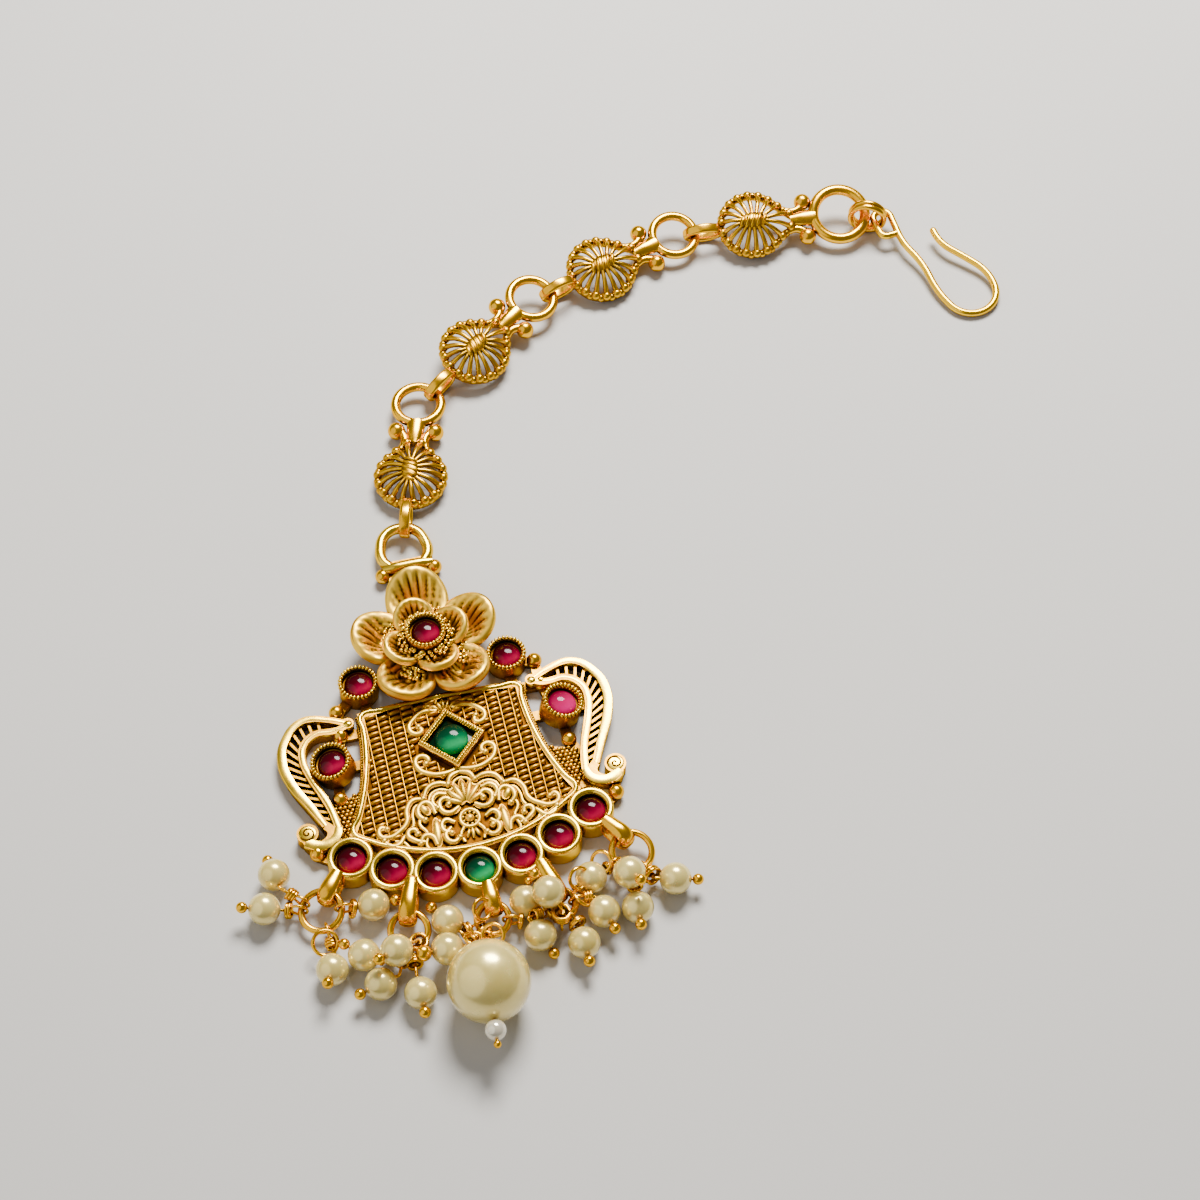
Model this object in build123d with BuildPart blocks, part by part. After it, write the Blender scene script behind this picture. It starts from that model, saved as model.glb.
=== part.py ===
from build123d import *
import os
from math import acos, cos, degrees, radians, sin, sqrt

# Maang tikka: a forehead jewel of a pierced and stone-set pendant with pearl drops, a chain of four
# domed links and a wire hook. Millimetres. +X to the wearer's left of the pendant, +Y up the chain,
# +Z out of the face. The origin lies on the pendant's flat back, under the middle of the green
# centre stone.

os.makedirs("parts", exist_ok=True)

# ---- Pendant panel ---------------------------------------------------------------------------
PLATE = 1.4  # ground of the panel above the flat back
BORDER_TOP = 1.95  # top of the border wire
BORDER_WIDTH = 0.75
TOP_CORNER_X = 10.6
TOP_CORNER_Y = 6.7
TOP_CROWN = 0.6  # rise of the top edge at its middle
WAIST_X = 11.35  # the concave side passes here
WAIST_Y = -1.6
FOOT_ANGLE = 39.5  # half angle of the convex lower edge
WEB_THICKNESS = 0.8  # struts that carry the outlying settings
WEB_WIDTH = 1.3

# ---- Rim of seven bezels, on an arc ----------------------------------------------------------
RIM_CENTRE_Y = 7.5
RIM_RADIUS = 25.92
RIM_PITCH = 11.87  # degrees between neighbours
RIM_COUNT = 7
PANEL_FOOT_RADIUS = 23.0
RIM_BEZEL = 2.8
RIM_OPENING = 2.2
RIM_HEIGHT = 2.6

# ---- Stones ----------------------------------------------------------------------------------
SEAT_RADIUS = 1.85
SEAT_FLOOR = 1.1
STONE_GAP = 0.07
LEDGE_DEPTH = 0.7

# ---- Top and side bezels ---------------------------------------------------------------------
TOP_BEZEL = 2.47
TOP_BEZEL_X = 9.67
TOP_BEZEL_Y = 10.85
SIDE_BEZEL = 2.6
SIDE_BEZEL_X = 14.6
SIDE_BEZEL_Y = 0.9
SIDE_TILT = 12
SIDE_RAISE = 0.7

# ---- Relief of the panel: everything is mirrored about this line -----------------------------
RELIEF_X = 0.3
RELIEF_TOP = 1.85
VINE_WIDTH = 0.5

# ---- Square setting --------------------------------------------------------------------------
SQUARE_FRAME = 6.0
SQUARE_OPENING = 4.7
SQUARE_TOP = 2.7
SQUARE_MIDDLE_Y = 0.25
SQUARE_DOME = 2.1

# ---- Flower ----------------------------------------------------------------------------------
FLOWER_Y = 14.5
FLOWER_CORE = 2.9
FLOWER_CORE_TOP = 4.4
FLOWER_BEZEL = 2.55
FLOWER_BEZEL_HEIGHT = 1.7

# ---- Top ring of the pendant -----------------------------------------------------------------
TOP_RING_Y = 30.95
TOP_RING_HALF_WIDTH = 3.08
TOP_RING_HALF_HEIGHT = 2.95
TOP_RING_WIRE = 0.475
TOP_RING_Z = 1.4
NECK_FOOT = 7.4  # the plate between the flower and the top ring
NECK_LENGTH_Y = 10.5
NECK_FLARE = 84

# ---- Wings -----------------------------------------------------------------------------------
RAIL_WIDTH = 0.85
RAIL_BOTTOM = 0.0
RAIL_TOP = 1.9
RUNG_COUNT = 15
RUNG_WIDTH = 0.32
RUNG_TOP = 1.5
CURL_X = 19.65
CURL_Y = -8.2
CURL_RADIUS = 1.35

# The left flank was soldered a little lower than the right one.
FLANK_LIFT = 0.95
WING_LIFT = 0.5
GRANULE = 0.95

# ---- Bails and jump rings of the drops -------------------------------------------------------
BAIL_WIDTH = 1.3
BAIL_WALL = 0.72
BAIL_HOLE = 1.8
BAIL_PLAY = 0.5
BAIL_MIDDLE_Z = 2.15
JUMP_WIRE = 0.35
JUMP_Z = 1.85
JUMP_TILT = 12
BAIL_REACH = 31.2  # from the rim's centre to the jump ring's wire

# ---- Pearls and their pins -------------------------------------------------------------------
PEARL = 2.0
PEARL_BORE = 0.3
BIG_PEARL = 5.05
WHITE_BEAD = 1.28
PIN_WIRE = 0.18
EYE_RADIUS = 1.05
EYE_SLACK = 0.3
NECK_RADIUS = 0.38
NECK_LENGTH = 0.9
BEND_RADIUS = 0.2
FLOOR_GAP = 0.1

# ---- Chain links -----------------------------------------------------------------------------
LINK_PITCH = 23.6  # from one ring's middle to the next
DOME_X = 11.5  # dome's middle from the ring that the bail holds
DOME_RADIUS = 4.4
DOME_TIP = 6.6
DOME_WALL = 0.7
DOME_WALL_TOP = 1.4
DOME_HUB_Z = 2.5
DOME_HUB_TOP = 3.5
SPOKES = 16
SPOKE_RADIUS = 0.28
RIM_BEAD = 0.48
LINK_RING = 3.12
LINK_WIRE = 0.475
LINK_RING_Z = 1.5
LINK_BAIL_Z = 1.8
LINK_BAIL_HOLE = 2.0
LINK_BAIL_WIDTH = 1.3
LINK_BAIL_WALL = 0.75
END_BALL = 0.85
END_BALL_SPREAD = 2.75
END_RING = 3.75
END_RING_WIRE = 0.6

# ---- Hook ------------------------------------------------------------------------------------
HOOK_WIRE = 0.5
HOOK_SLOPE = 5.6  # the eye end is raised on the link
HOOK_LINK_RADIUS = 2.38
HOOK_LINK_WIRE = 0.42
HOOK_LINK_TURN = 0.75


def heading(azimuth, elevation=0.0):
    """Unit vector at a compass angle from +X and a height angle, in degrees."""
    a, e = radians(azimuth), radians(elevation)
    return Vector(cos(a) * cos(e), sin(a) * cos(e), sin(e))


def rim_point(angle, radius=RIM_RADIUS, height=0.0):
    """Point on the rim's arc, its angle counted from the lowest bezel."""
    a = radians(angle)
    return Vector(radius * sin(a), RIM_CENTRE_Y - radius * cos(a), height)


def cabochon(radius, girdle, crown):
    """Round stone: a short girdle under a low dome."""
    sweep_radius = (radius**2 + crown**2) / (2 * crown)
    with BuildPart() as stone:
        Cylinder(radius, girdle + crown, align=(Align.CENTER, Align.CENTER, Align.MIN))
        with Locations((0, 0, girdle + crown - sweep_radius)):
            Sphere(sweep_radius, mode=Mode.INTERSECT)
    return stone.part


def bezel(outer, opening, height):
    """Cup with a ledge and a seat for a round stone, its rim rounded over."""
    with BuildPart() as cup:
        Cylinder(outer, height, align=(Align.CENTER, Align.CENTER, Align.MIN))
        with Locations((0, 0, height)):
            CounterBoreHole(
                radius=SEAT_RADIUS,
                counter_bore_radius=opening,
                counter_bore_depth=LEDGE_DEPTH,
                depth=height - SEAT_FLOOR,
            )
        fillet(cup.edges().group_by(Axis.Z)[-1], (outer - opening) * 0.42)
    return cup.part


def petal(length, width, bowl, wall):
    """One cupped petal, its middle on the Z axis and its bottom on Z = 0."""
    with BuildPart() as leaf:
        with BuildSketch():
            Ellipse(length / 2, width / 2)
        extrude(amount=bowl * 2)
        with BuildSketch(Plane.XZ, mode=Mode.PRIVATE) as section:
            with BuildLine():
                CenterArc((0, bowl), bowl, -90, 85)
                Line((0, 0), (0, wall))
                CenterArc((0, bowl), bowl - wall, -90, 85)
                Line(
                    (bowl * cos(radians(5)), bowl - bowl * sin(radians(5))),
                    ((bowl - wall) * cos(radians(5)), bowl - (bowl - wall) * sin(radians(5))),
                )
            make_face()
        revolve(section.sketch, axis=Axis.Z, mode=Mode.INTERSECT)
    return leaf.part


def band_loop(length, hole, width, wall):
    """Upright band bent into a loop: along X, open along Y, its outer end at X = 0."""
    height = hole + 2 * wall
    with BuildPart() as loop:
        with BuildSketch(Plane.XZ):
            with Locations((-length / 2, 0)):
                RectangleRounded(length, height, height * 0.45)
                RectangleRounded(length - 2 * wall, hole, hole * 0.45, mode=Mode.SUBTRACT)
        extrude(amount=width / 2, both=True)
        fillet(loop.edges().filter_by(GeomType.LINE, reverse=True).group_by(Axis.Y)[-1], wall * 0.3)
        fillet(loop.edges().filter_by(GeomType.LINE, reverse=True).group_by(Axis.Y)[0], wall * 0.3)
    return loop.part


# ---- Wing: two rails from short lists of points, right-hand side -----------------------------
OUTER_RAIL = [(12.0, 6.2), (14.4, 7.3), (17.7, 7.8), (20.3, 5.3), (21.0, 2.7), (20.6, -0.2), (18.4, -5.1), (17.3, -7.6)]
INNER_RAIL = [(12.4, 5.9), (14.3, 5.5), (16.2, 5.6), (18.1, 4.1), (18.5, 2.3), (18.0, -0.3), (16.4, -4.9), (15.8, -8.2)]
FOOT_SCROLL = [(17.3, -7.6), (16.75, -9.1), (18.2, -10.15), (19.9, -9.2)]


def wing():
    """Pierced wing: outer and inner rail, the ladder of rungs between them and the curl."""
    with BuildPart() as side:
        with BuildSketch():
            with BuildLine():
                outer = Spline(*OUTER_RAIL)
                inner = Spline(*INNER_RAIL)
            trace(line_width=RAIL_WIDTH)
            with BuildLine():
                Spline(*FOOT_SCROLL)
            trace(line_width=1.1)
            with BuildLine():
                Line(INNER_RAIL[-1], FOOT_SCROLL[1])
            trace(line_width=1.0)
            with Locations((CURL_X, CURL_Y)):
                Circle(CURL_RADIUS)
            with Locations(OUTER_RAIL[0]):
                Circle(0.75)
        extrude(amount=RAIL_TOP)
        with BuildSketch():
            for step in range(RUNG_COUNT):
                along = 0.17 + 0.76 * step / (RUNG_COUNT - 1)
                with BuildLine():
                    Line(outer @ along, inner @ along)
                trace(line_width=RUNG_WIDTH)
        extrude(amount=RUNG_TOP)
    return side.part


def flank(side, lift, shape):
    """Puts a right-hand shape on one side, mirrored for the left one and lifted along Y."""
    turned = shape if side > 0 else shape.mirror(Plane.YZ)
    return turned.moved(Location((0, side * lift, 0)))


rim_bezel = bezel(RIM_BEZEL, RIM_OPENING, RIM_HEIGHT)
top_bezel = bezel(TOP_BEZEL, 2.05, RIM_HEIGHT)
side_bezel = bezel(SIDE_BEZEL, 2.1, RIM_HEIGHT)
flower_bezel = bezel(FLOWER_BEZEL, 2.1, FLOWER_BEZEL_HEIGHT + SEAT_FLOOR)
outer_petal = petal(8.2, 7.3, 5.2, 0.6)
top_petal = petal(9.2, 7.9, 5.7, 0.6)
inner_petal = petal(5.2, 5.0, 3.6, 0.5)
right_wing = wing()

# Upper granules on each flank: x, y and whether they follow the flank's lift.
GRANULES = [(13.1, 8.95), (13.2, 5.5), (14.85, -3.5)]
LOW_GRANULE = (18.9, -11.3)

# Struts behind the settings, right-hand side, each a line of points.
STRUTS = [
    [(1.5, 13.9), (TOP_BEZEL_X, TOP_BEZEL_Y), (13.1, 8.95), (13.2, 5.5)],
    [(13.2, 5.5), (SIDE_BEZEL_X, SIDE_BEZEL_Y), (14.85, -3.5), (16.2, -6.5)],
    [(9.5, 5.5), (13.2, 5.5)],
    [(10.5, 0.9), (18.6, 1.2)],
    [(13.5, -9.2), (17.0, -8.6)],
    [(CURL_X - 0.4, CURL_Y - 0.5), LOW_GRANULE, (16.5, -13.0)],
    [(TOP_BEZEL_X - 0.5, TOP_BEZEL_Y - 1.0), (9.8, 6.0)],
]

# Plate that fills each flank between the panel and its wing, below the side bezel.
FLANK_PLATE = [(11.2, -3.2), (14.6, -4.0), (16.7, -5.2), (16.0, -8.6), (14.0, -9.8)]

# Vines of the relief, right-hand side, measured from the relief's own centre line.
VINES = [
    [(1.0, 4.9), (2.7, 5.1), (4.2, 4.2), (4.9, 3.1), (4.2, 2.1), (3.4, 2.4)],
    [(0.0, -3.9), (1.9, -4.3), (3.7, -3.9), (4.9, -2.8), (4.9, -1.5), (3.9, -1.25), (3.4, -1.95)],
    [(0.0, -4.4), (1.2, -4.9), (1.7, -5.9)],
    [(1.7, -5.9), (2.8, -5.5), (4.2, -5.8), (5.1, -7.2)],
    [(5.1, -7.2), (6.5, -7.2), (7.4, -8.3), (7.7, -10.0), (8.9, -11.1)],
    [(8.9, -11.1), (10.2, -11.6), (11.3, -11.1), (11.0, -10.1), (10.2, -10.3)],
    [(1.0, -9.3), (2.4, -9.9), (3.3, -9.0), (3.0, -7.9), (2.0, -8.0)],
]

# Petals of the two fans: middle x, y, length, width and turn from +X.
FAN_PETALS = [
    # x, y, length, width, turn
    (0.0, -7.1, 3.4, 1.0, 90),
    (0.65, -7.3, 3.3, 0.95, 70),
    (1.2, -7.7, 3.1, 0.95, 49),
    (1.5, -8.35, 2.8, 0.85, 27),
    (0.0, 5.6, 1.7, 0.5, 90),
    (0.55, 5.5, 1.7, 0.5, 66),
    (1.15, 5.35, 1.7, 0.5, 42),
    (4.3, -12.2, 4.2, 1.2, 94),
    (5.2, -8.7, 1.9, 1.2, 60),
]

# Bails: angle on the rim, where the band meets the rim, and the jump ring it carries.
DROPS = [
    # angle, root, ring x, ring y, ring radius
    (-36.5, 28.2, -19.8, -19.5, 2.48),
    (-17.9, 26.5, -9.95, -24.5, 2.27),
    (1.0, 28.2, 0.2, -25.3, 1.95),
    (15.2, 27.8, 8.6, -25.25, 1.8),
    (35.0, 28.2, 18.7, -20.3, 2.48),
]


def jump_frame(drop):
    """Middle of a jump ring and two axes of its plane: towards its bail, and across."""
    angle, root, x, y, radius = drop
    middle = Vector(x, y, JUMP_Z)
    to_bail = rim_point(angle, BAIL_REACH, JUMP_Z) - middle
    flat = to_bail.normalized()
    rise = radians(JUMP_TILT)
    uphill = Vector(flat.X * cos(rise), flat.Y * cos(rise), sin(rise))
    across = Vector(-flat.Y, flat.X, 0)
    return middle, uphill, across, radius


def wire_point(drop, bearing):
    """Point of a jump ring's wire that lies in the given flat direction from its middle."""
    middle, uphill, across, radius = jump_frame(drop)
    along = (bearing.X * uphill.X + bearing.Y * uphill.Y) / (uphill.X**2 + uphill.Y**2)
    side = bearing.X * across.X + bearing.Y * across.Y
    size = sqrt(along**2 + side**2)
    return middle + uphill * (radius * along / size) + across * (radius * side / size)


def bail_wire_reach(drop):
    """Distance from the rim's centre at which the ring's wire crosses the bail's plane."""
    angle = drop[0]
    out = rim_point(angle, 1.0) - rim_point(angle, 0.0)
    middle, uphill, across, radius = jump_frame(drop)
    best = None
    for step in range(0, 3600):
        turn = radians(step / 10)
        point = middle + uphill * (radius * cos(turn)) + across * (radius * sin(turn))
        offset = point - rim_point(angle, 0.0)
        aside = abs(offset.X * out.Y - offset.Y * out.X)
        reach = offset.X * out.X + offset.Y * out.Y
        if aside < 0.02 and (best is None or reach < best):
            best = reach
    return best


# ---- Pendant: all the soldered metal ---------------------------------------------------------
with BuildPart() as pendant:
    # Panel with concave sides and a convex foot, and its border wire.
    with BuildSketch() as panel_outline:
        with BuildLine():
            foot = rim_point(FOOT_ANGLE, PANEL_FOOT_RADIUS)
            ThreePointArc(
                (-TOP_CORNER_X, TOP_CORNER_Y),
                (0, TOP_CORNER_Y + TOP_CROWN),
                (TOP_CORNER_X, TOP_CORNER_Y),
            )
            ThreePointArc((TOP_CORNER_X, TOP_CORNER_Y), (WAIST_X, WAIST_Y), (foot.X, foot.Y))
            ThreePointArc(
                (foot.X, foot.Y),
                (0, RIM_CENTRE_Y - PANEL_FOOT_RADIUS),
                (-foot.X, foot.Y),
            )
            ThreePointArc((-foot.X, foot.Y), (-WAIST_X, WAIST_Y), (-TOP_CORNER_X, TOP_CORNER_Y))
        make_face()
    extrude(amount=PLATE)
    with BuildSketch(Plane.XY.offset(PLATE)):
        add(panel_outline.sketch)
        offset(panel_outline.sketch, amount=-BORDER_WIDTH, mode=Mode.SUBTRACT)
    extrude(amount=BORDER_TOP - PLATE)

    # Bezels of the rim.
    for place in range(RIM_COUNT):
        spot = rim_point((place - (RIM_COUNT - 1) / 2) * RIM_PITCH)
        with Locations(spot):
            add(rim_bezel)

    # Struts, side and top bezels, granules and wings.
    for side in (-1, 1):
        with BuildSketch():
            for line in STRUTS:
                points = [(side * x, y + side * (FLANK_LIFT if -7 < y < 10 else 0)) for x, y in line]
                with BuildLine():
                    Polyline(*points)
                trace(line_width=WEB_WIDTH)
            with BuildLine():
                Polyline(*[(side * x, y + side * WING_LIFT) for x, y in FLANK_PLATE], close=True)
            make_face()
        extrude(amount=WEB_THICKNESS)
        with Locations((side * TOP_BEZEL_X, TOP_BEZEL_Y, 0)):
            add(top_bezel)
        with Locations(
            Location(
                (side * SIDE_BEZEL_X, SIDE_BEZEL_Y + side * FLANK_LIFT, SIDE_RAISE),
                (0, side * SIDE_TILT, 0),
            )
        ):
            add(side_bezel)
        for x, y in GRANULES:
            with Locations((side * x, y + side * FLANK_LIFT, GRANULE)):
                Sphere(GRANULE)
        with Locations((side * LOW_GRANULE[0], LOW_GRANULE[1], GRANULE)):
            Sphere(GRANULE)
        add(flank(side, WING_LIFT, right_wing))

    # Cast relief: vines, fans and the small flower below.
    with BuildSketch(Plane.XY.offset(PLATE - 0.1)):
        for side in (-1, 1):
            for vine in VINES:
                with BuildLine():
                    Spline(*[(RELIEF_X + side * x, y) for x, y in vine])
                trace(line_width=VINE_WIDTH)
            for x, y, length, width, turn in FAN_PETALS:
                with Locations(Location((RELIEF_X + side * x, y, 0), (0, 0, 90 + side * (turn - 90)))):
                    Ellipse(length / 2, width / 2)
        with Locations((RELIEF_X, -11.1)):
            Circle(1.45)
            Circle(0.95, mode=Mode.SUBTRACT)
            Circle(0.55)
    extrude(amount=RELIEF_TOP - PLATE + 0.1)

    # Square setting, turned on its corner.
    with BuildSketch(Plane.XY.offset(PLATE)):
        with Locations(Location((RELIEF_X, SQUARE_MIDDLE_Y, 0), (0, 0, 45))):
            Rectangle(SQUARE_FRAME, SQUARE_FRAME)
            Rectangle(SQUARE_OPENING, SQUARE_OPENING, mode=Mode.SUBTRACT)
    extrude(amount=SQUARE_TOP - PLATE)

    # Flower: core, two tiers of petals and the centre bezel.
    with Locations((0, FLOWER_Y, 0)):
        Cylinder(
            FLOWER_CORE,
            FLOWER_CORE_TOP,
            align=(Align.CENTER, Align.CENTER, Align.MIN),
        )
    with Locations((0, FLOWER_Y, 1.3)):
        with PolarLocations(6.3, 4, start_angle=162, angular_range=288):
            with Locations(Rotation(0, -14, 0)):
                add(outer_petal)
        with PolarLocations(6.8, 1, start_angle=90):
            with Locations(Rotation(0, -14, 0)):
                add(top_petal)
    with Locations((0, FLOWER_Y, 3.0)):
        with PolarLocations(3.9, 4, start_angle=17):
            with Locations(Rotation(0, -24, 0)):
                add(inner_petal)
    with Locations((0, FLOWER_Y, FLOWER_CORE_TOP - SEAT_FLOOR)):
        add(flower_bezel)

    # Neck above the flower, its two balls and the D-shaped ring with its flat foot.
    with BuildSketch():
        with Locations((0, 22.6)):
            Trapezoid(NECK_FOOT, NECK_LENGTH_Y, NECK_FLARE)
    extrude(amount=1.2)
    foot_y = TOP_RING_Y - TOP_RING_HALF_HEIGHT
    for side in (-1, 1):
        with Locations((side * 3.45, foot_y - 0.85, GRANULE)):
            Sphere(GRANULE)
    with BuildSketch():
        with Locations((0, foot_y - 0.15)):
            Rectangle(5.6, 1.5)
    extrude(amount=TOP_RING_Z + 0.5)
    with BuildLine(Plane.XY.offset(TOP_RING_Z)) as ring_path:
        FilletPolyline(
            (0, foot_y),
            (TOP_RING_HALF_WIDTH, foot_y),
            (TOP_RING_HALF_WIDTH, foot_y + 2 * TOP_RING_HALF_HEIGHT),
            (-TOP_RING_HALF_WIDTH, foot_y + 2 * TOP_RING_HALF_HEIGHT),
            (-TOP_RING_HALF_WIDTH, foot_y),
            (-0.2, foot_y),
            radius=[0.9, 2.9, 2.9, 0.9],
        )
    with BuildSketch(Plane((0, foot_y, TOP_RING_Z), z_dir=(1, 0, 0))):
        Circle(TOP_RING_WIRE)
    sweep(path=ring_path.wire())

    # Bails of the five drops.
    for drop in DROPS:
        angle, root = drop[0], drop[1]
        tip = bail_wire_reach(drop) + JUMP_WIRE + BAIL_PLAY + BAIL_WALL
        loop = band_loop(tip - root, BAIL_HOLE, BAIL_WIDTH, BAIL_WALL)
        with Locations(Location(rim_point(angle, tip, BAIL_MIDDLE_Z), (0, 0, angle - 90))):
            add(loop)

pendant.part.label = "pendant"
export_step(pendant.part, "parts/pendant.step")

# ---- Stones ----------------------------------------------------------------------------------
round_stone = cabochon(SEAT_RADIUS - STONE_GAP, 0.75, 1.05)
stone_places = {
    "stone_flower": Location((0, FLOWER_Y, FLOWER_CORE_TOP)),
    "stone_top_left": Location((-TOP_BEZEL_X, TOP_BEZEL_Y, SEAT_FLOOR)),
    "stone_top_right": Location((TOP_BEZEL_X, TOP_BEZEL_Y, SEAT_FLOOR)),
    "stone_side_left": Location(
        (-SIDE_BEZEL_X, SIDE_BEZEL_Y - FLANK_LIFT, SIDE_RAISE), (0, -SIDE_TILT, 0)
    )
    * Location((0, 0, SEAT_FLOOR)),
    "stone_side_right": Location(
        (SIDE_BEZEL_X, SIDE_BEZEL_Y + FLANK_LIFT, SIDE_RAISE), (0, SIDE_TILT, 0)
    )
    * Location((0, 0, SEAT_FLOOR)),
}
for place in range(RIM_COUNT):
    spot = rim_point((place - (RIM_COUNT - 1) / 2) * RIM_PITCH, height=SEAT_FLOOR)
    stone_places[f"stone_rim_{place + 1}"] = Location(spot)
for name, spot in stone_places.items():
    with BuildPart() as stone:
        with Locations(spot * Location((0, 0, 0.03))):
            add(round_stone)
    stone.part.label = name
    export_step(stone.part, f"parts/{name}.step")

# Centre stone: a square base with a round dome.
with BuildPart() as stone_centre:
    with BuildSketch(Plane.XY.offset(PLATE + 0.03)):
        with Locations(Location((RELIEF_X, SQUARE_MIDDLE_Y, 0), (0, 0, 45))):
            Rectangle(SQUARE_OPENING - 0.15, SQUARE_OPENING - 0.15)
    extrude(amount=0.5)
    with Locations((RELIEF_X, SQUARE_MIDDLE_Y, PLATE + 0.4)):
        add(cabochon(SQUARE_DOME, 0.3, 1.25))
stone_centre.part.label = "stone_centre"
export_step(stone_centre.part, "parts/stone_centre.step")

# ---- Jump rings of the drops -----------------------------------------------------------------
for number, drop in enumerate(DROPS, start=1):
    middle, uphill, across, radius = jump_frame(drop)
    with BuildPart() as jump_ring:
        with Locations(Plane(origin=middle, x_dir=uphill, z_dir=uphill.cross(across))):
            Torus(radius, JUMP_WIRE)
    jump_ring.part.label = f"jump_ring_{number}"
    export_step(jump_ring.part, f"parts/jump_ring_{number}.step")

# ---- Pearls and head pins --------------------------------------------------------------------
# Each row: the jump ring it hangs from, the pearl's middle, the compass and height angle of its
# pin, the distance from the pin's bend to the pearl's middle, and the ball at the pin's end.
PEARLS = [
    # drop, x, y, z, azimuth, elevation, reach, ball
    (1, -24.6, -13.4, 2.0, 100, -19, 2.45, 0.7),
    (1, -26.5, -17.7, 2.0, 170, 15, 2.45, 0.7),
    (1, -13.5, -20.2, 2.0, -5, 10, 2.45, 0.7),
    (1, -19.9, -27.5, 2.0, -110, 30, 2.45, 0.7),
    (2, -15.85, -26.5, 2.0, 140, 10, 2.45, 0.7),
    (2, -12.0, -28.0, 4.5, -154, 22, 3.4, 0.7),
    (2, -14.6, -30.7, 2.0, 196, 2, 2.45, 0.7),
    (2, -10.2, -32.9, 2.0, -90, 8, 2.45, 0.7),
    (3, -5.2, -24.42, 2.0, 125, 0, 2.45, 0.7),
    (3, -6.0, -28.6, 3.2, -175, 15, 2.45, 1.0),
    (3, 4.5, -24.0, 2.0, 70, 10, 2.45, 0.5),
    (4, 7.2, -25.0, 5.3, 120, 25, 2.45, 0.7),
    (4, 5.3, -28.8, 2.0, -62, -25, 2.6, 0.7),
    (4, 13.5, -27.5, 2.0, -75, 6, 2.45, 0.7),
    (4, 10.2, -31.0, 2.0, -90, 10, 2.45, 0.7),
    (5, 17.4, -24.3, 4.5, -67, 35, 2.45, 0.7),
    (5, 17.6, -27.9, 2.0, -96, 15, 2.45, 0.7),
    (5, 23.0, -25.2, 2.0, -16, 1, 2.45, 0.7),
    (5, 13.0, -22.7, 2.0, 200, 0, 2.25, 0.4),
]
BIG_DROP = (3, -2.18, -34.7, BIG_PEARL, -95, 3, 5.6, 0.45)


def rod(start, end, radius):
    """Round rod between two points, added to the part being built."""
    span = end - start
    with Locations(Plane(origin=start, z_dir=span)):
        Cylinder(radius, span.length, align=(Align.CENTER, Align.CENTER, Align.MIN))


def drilled_bead(row, radius, bore, along=0.0):
    """Round bead on a pin, drilled along the pin."""
    number, x, y, z, azimuth, elevation, reach, ball = row
    course = heading(azimuth, elevation)
    with BuildPart() as bead:
        with Locations(Plane(origin=Vector(x, y, z) + course * along, z_dir=course)):
            Sphere(radius)
            Cylinder(bore, radius * 3, mode=Mode.SUBTRACT)
    return bead.part


def head_pin(row, radius, wire, tail=0.0):
    """Pin with an eye round its jump ring, a wound neck, a bend, and a ball past the bead."""
    number, x, y, z, azimuth, elevation, reach, ball = row
    drop = DROPS[number - 1]
    course = heading(azimuth, elevation)
    bead = Vector(x, y, z)
    bend = bead - course * reach
    ring_middle = jump_frame(drop)[0]
    bearing = Vector(bend.X - ring_middle.X, bend.Y - ring_middle.Y, 0).normalized()
    touch = wire_point(drop, bearing)
    eye_z = max(touch.Z, EYE_RADIUS + wire + FLOOR_GAP)
    eye = Vector(touch.X + bearing.X * EYE_SLACK, touch.Y + bearing.Y * EYE_SLACK, eye_z)
    toward = (bend - eye).normalized()
    shoulder = eye + toward * EYE_RADIUS
    neck = min(NECK_LENGTH, max(0.15, (bend - shoulder).length - 0.3))
    with BuildPart() as pin:
        with BuildLine(Plane(origin=eye, x_dir=toward, z_dir=bearing.cross(Vector(0, 0, 1)))):
            turn = CenterArc((0, 0), EYE_RADIUS, 8, 344)
        with BuildSketch(Plane(origin=turn @ 0, z_dir=turn % 0)):
            Circle(wire)
        sweep(path=turn)
        rod(shoulder - toward * 0.15, shoulder + toward * neck, NECK_RADIUS)
        tip = bead + course * (radius + tail + ball)
        with BuildLine() as stem:
            FilletPolyline(shoulder - toward * 0.12, bend, tip, radius=BEND_RADIUS)
        with BuildSketch(Plane(origin=stem.line @ 0, z_dir=stem.line % 0)):
            Circle(wire)
        sweep(path=stem.wire())
        with Locations(Plane(origin=bead + course * (radius + tail + ball + 0.05), z_dir=course)):
            Sphere(ball)
    return pin.part


for number, row in enumerate(PEARLS, start=1):
    pearl = drilled_bead(row, PEARL, PEARL_BORE)
    pearl.label = f"pearl_{number}"
    export_step(pearl, f"parts/pearl_{number}.step")

pearl_drop = drilled_bead(BIG_DROP, BIG_PEARL, 0.4)
pearl_drop.label = "pearl_drop"
export_step(pearl_drop, "parts/pearl_drop.step")

bead_white = drilled_bead(BIG_DROP, WHITE_BEAD, 0.4, along=BIG_PEARL + 0.1 + WHITE_BEAD)
bead_white.label = "bead_white"
export_step(bead_white, "parts/bead_white.step")

# The pins of one drop are loose solids side by side.
for number in range(1, len(DROPS) + 1):
    loose = [head_pin(row, PEARL, PIN_WIRE).solid() for row in PEARLS if row[0] == number]
    if number == BIG_DROP[0]:
        loose.append(head_pin(BIG_DROP, BIG_PEARL, 0.22, tail=2 * WHITE_BEAD + 0.15).solid())
    pins = Compound(label=f"pins_{number}", children=loose)
    export_step(pins, f"parts/pins_{number}.step")

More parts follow.
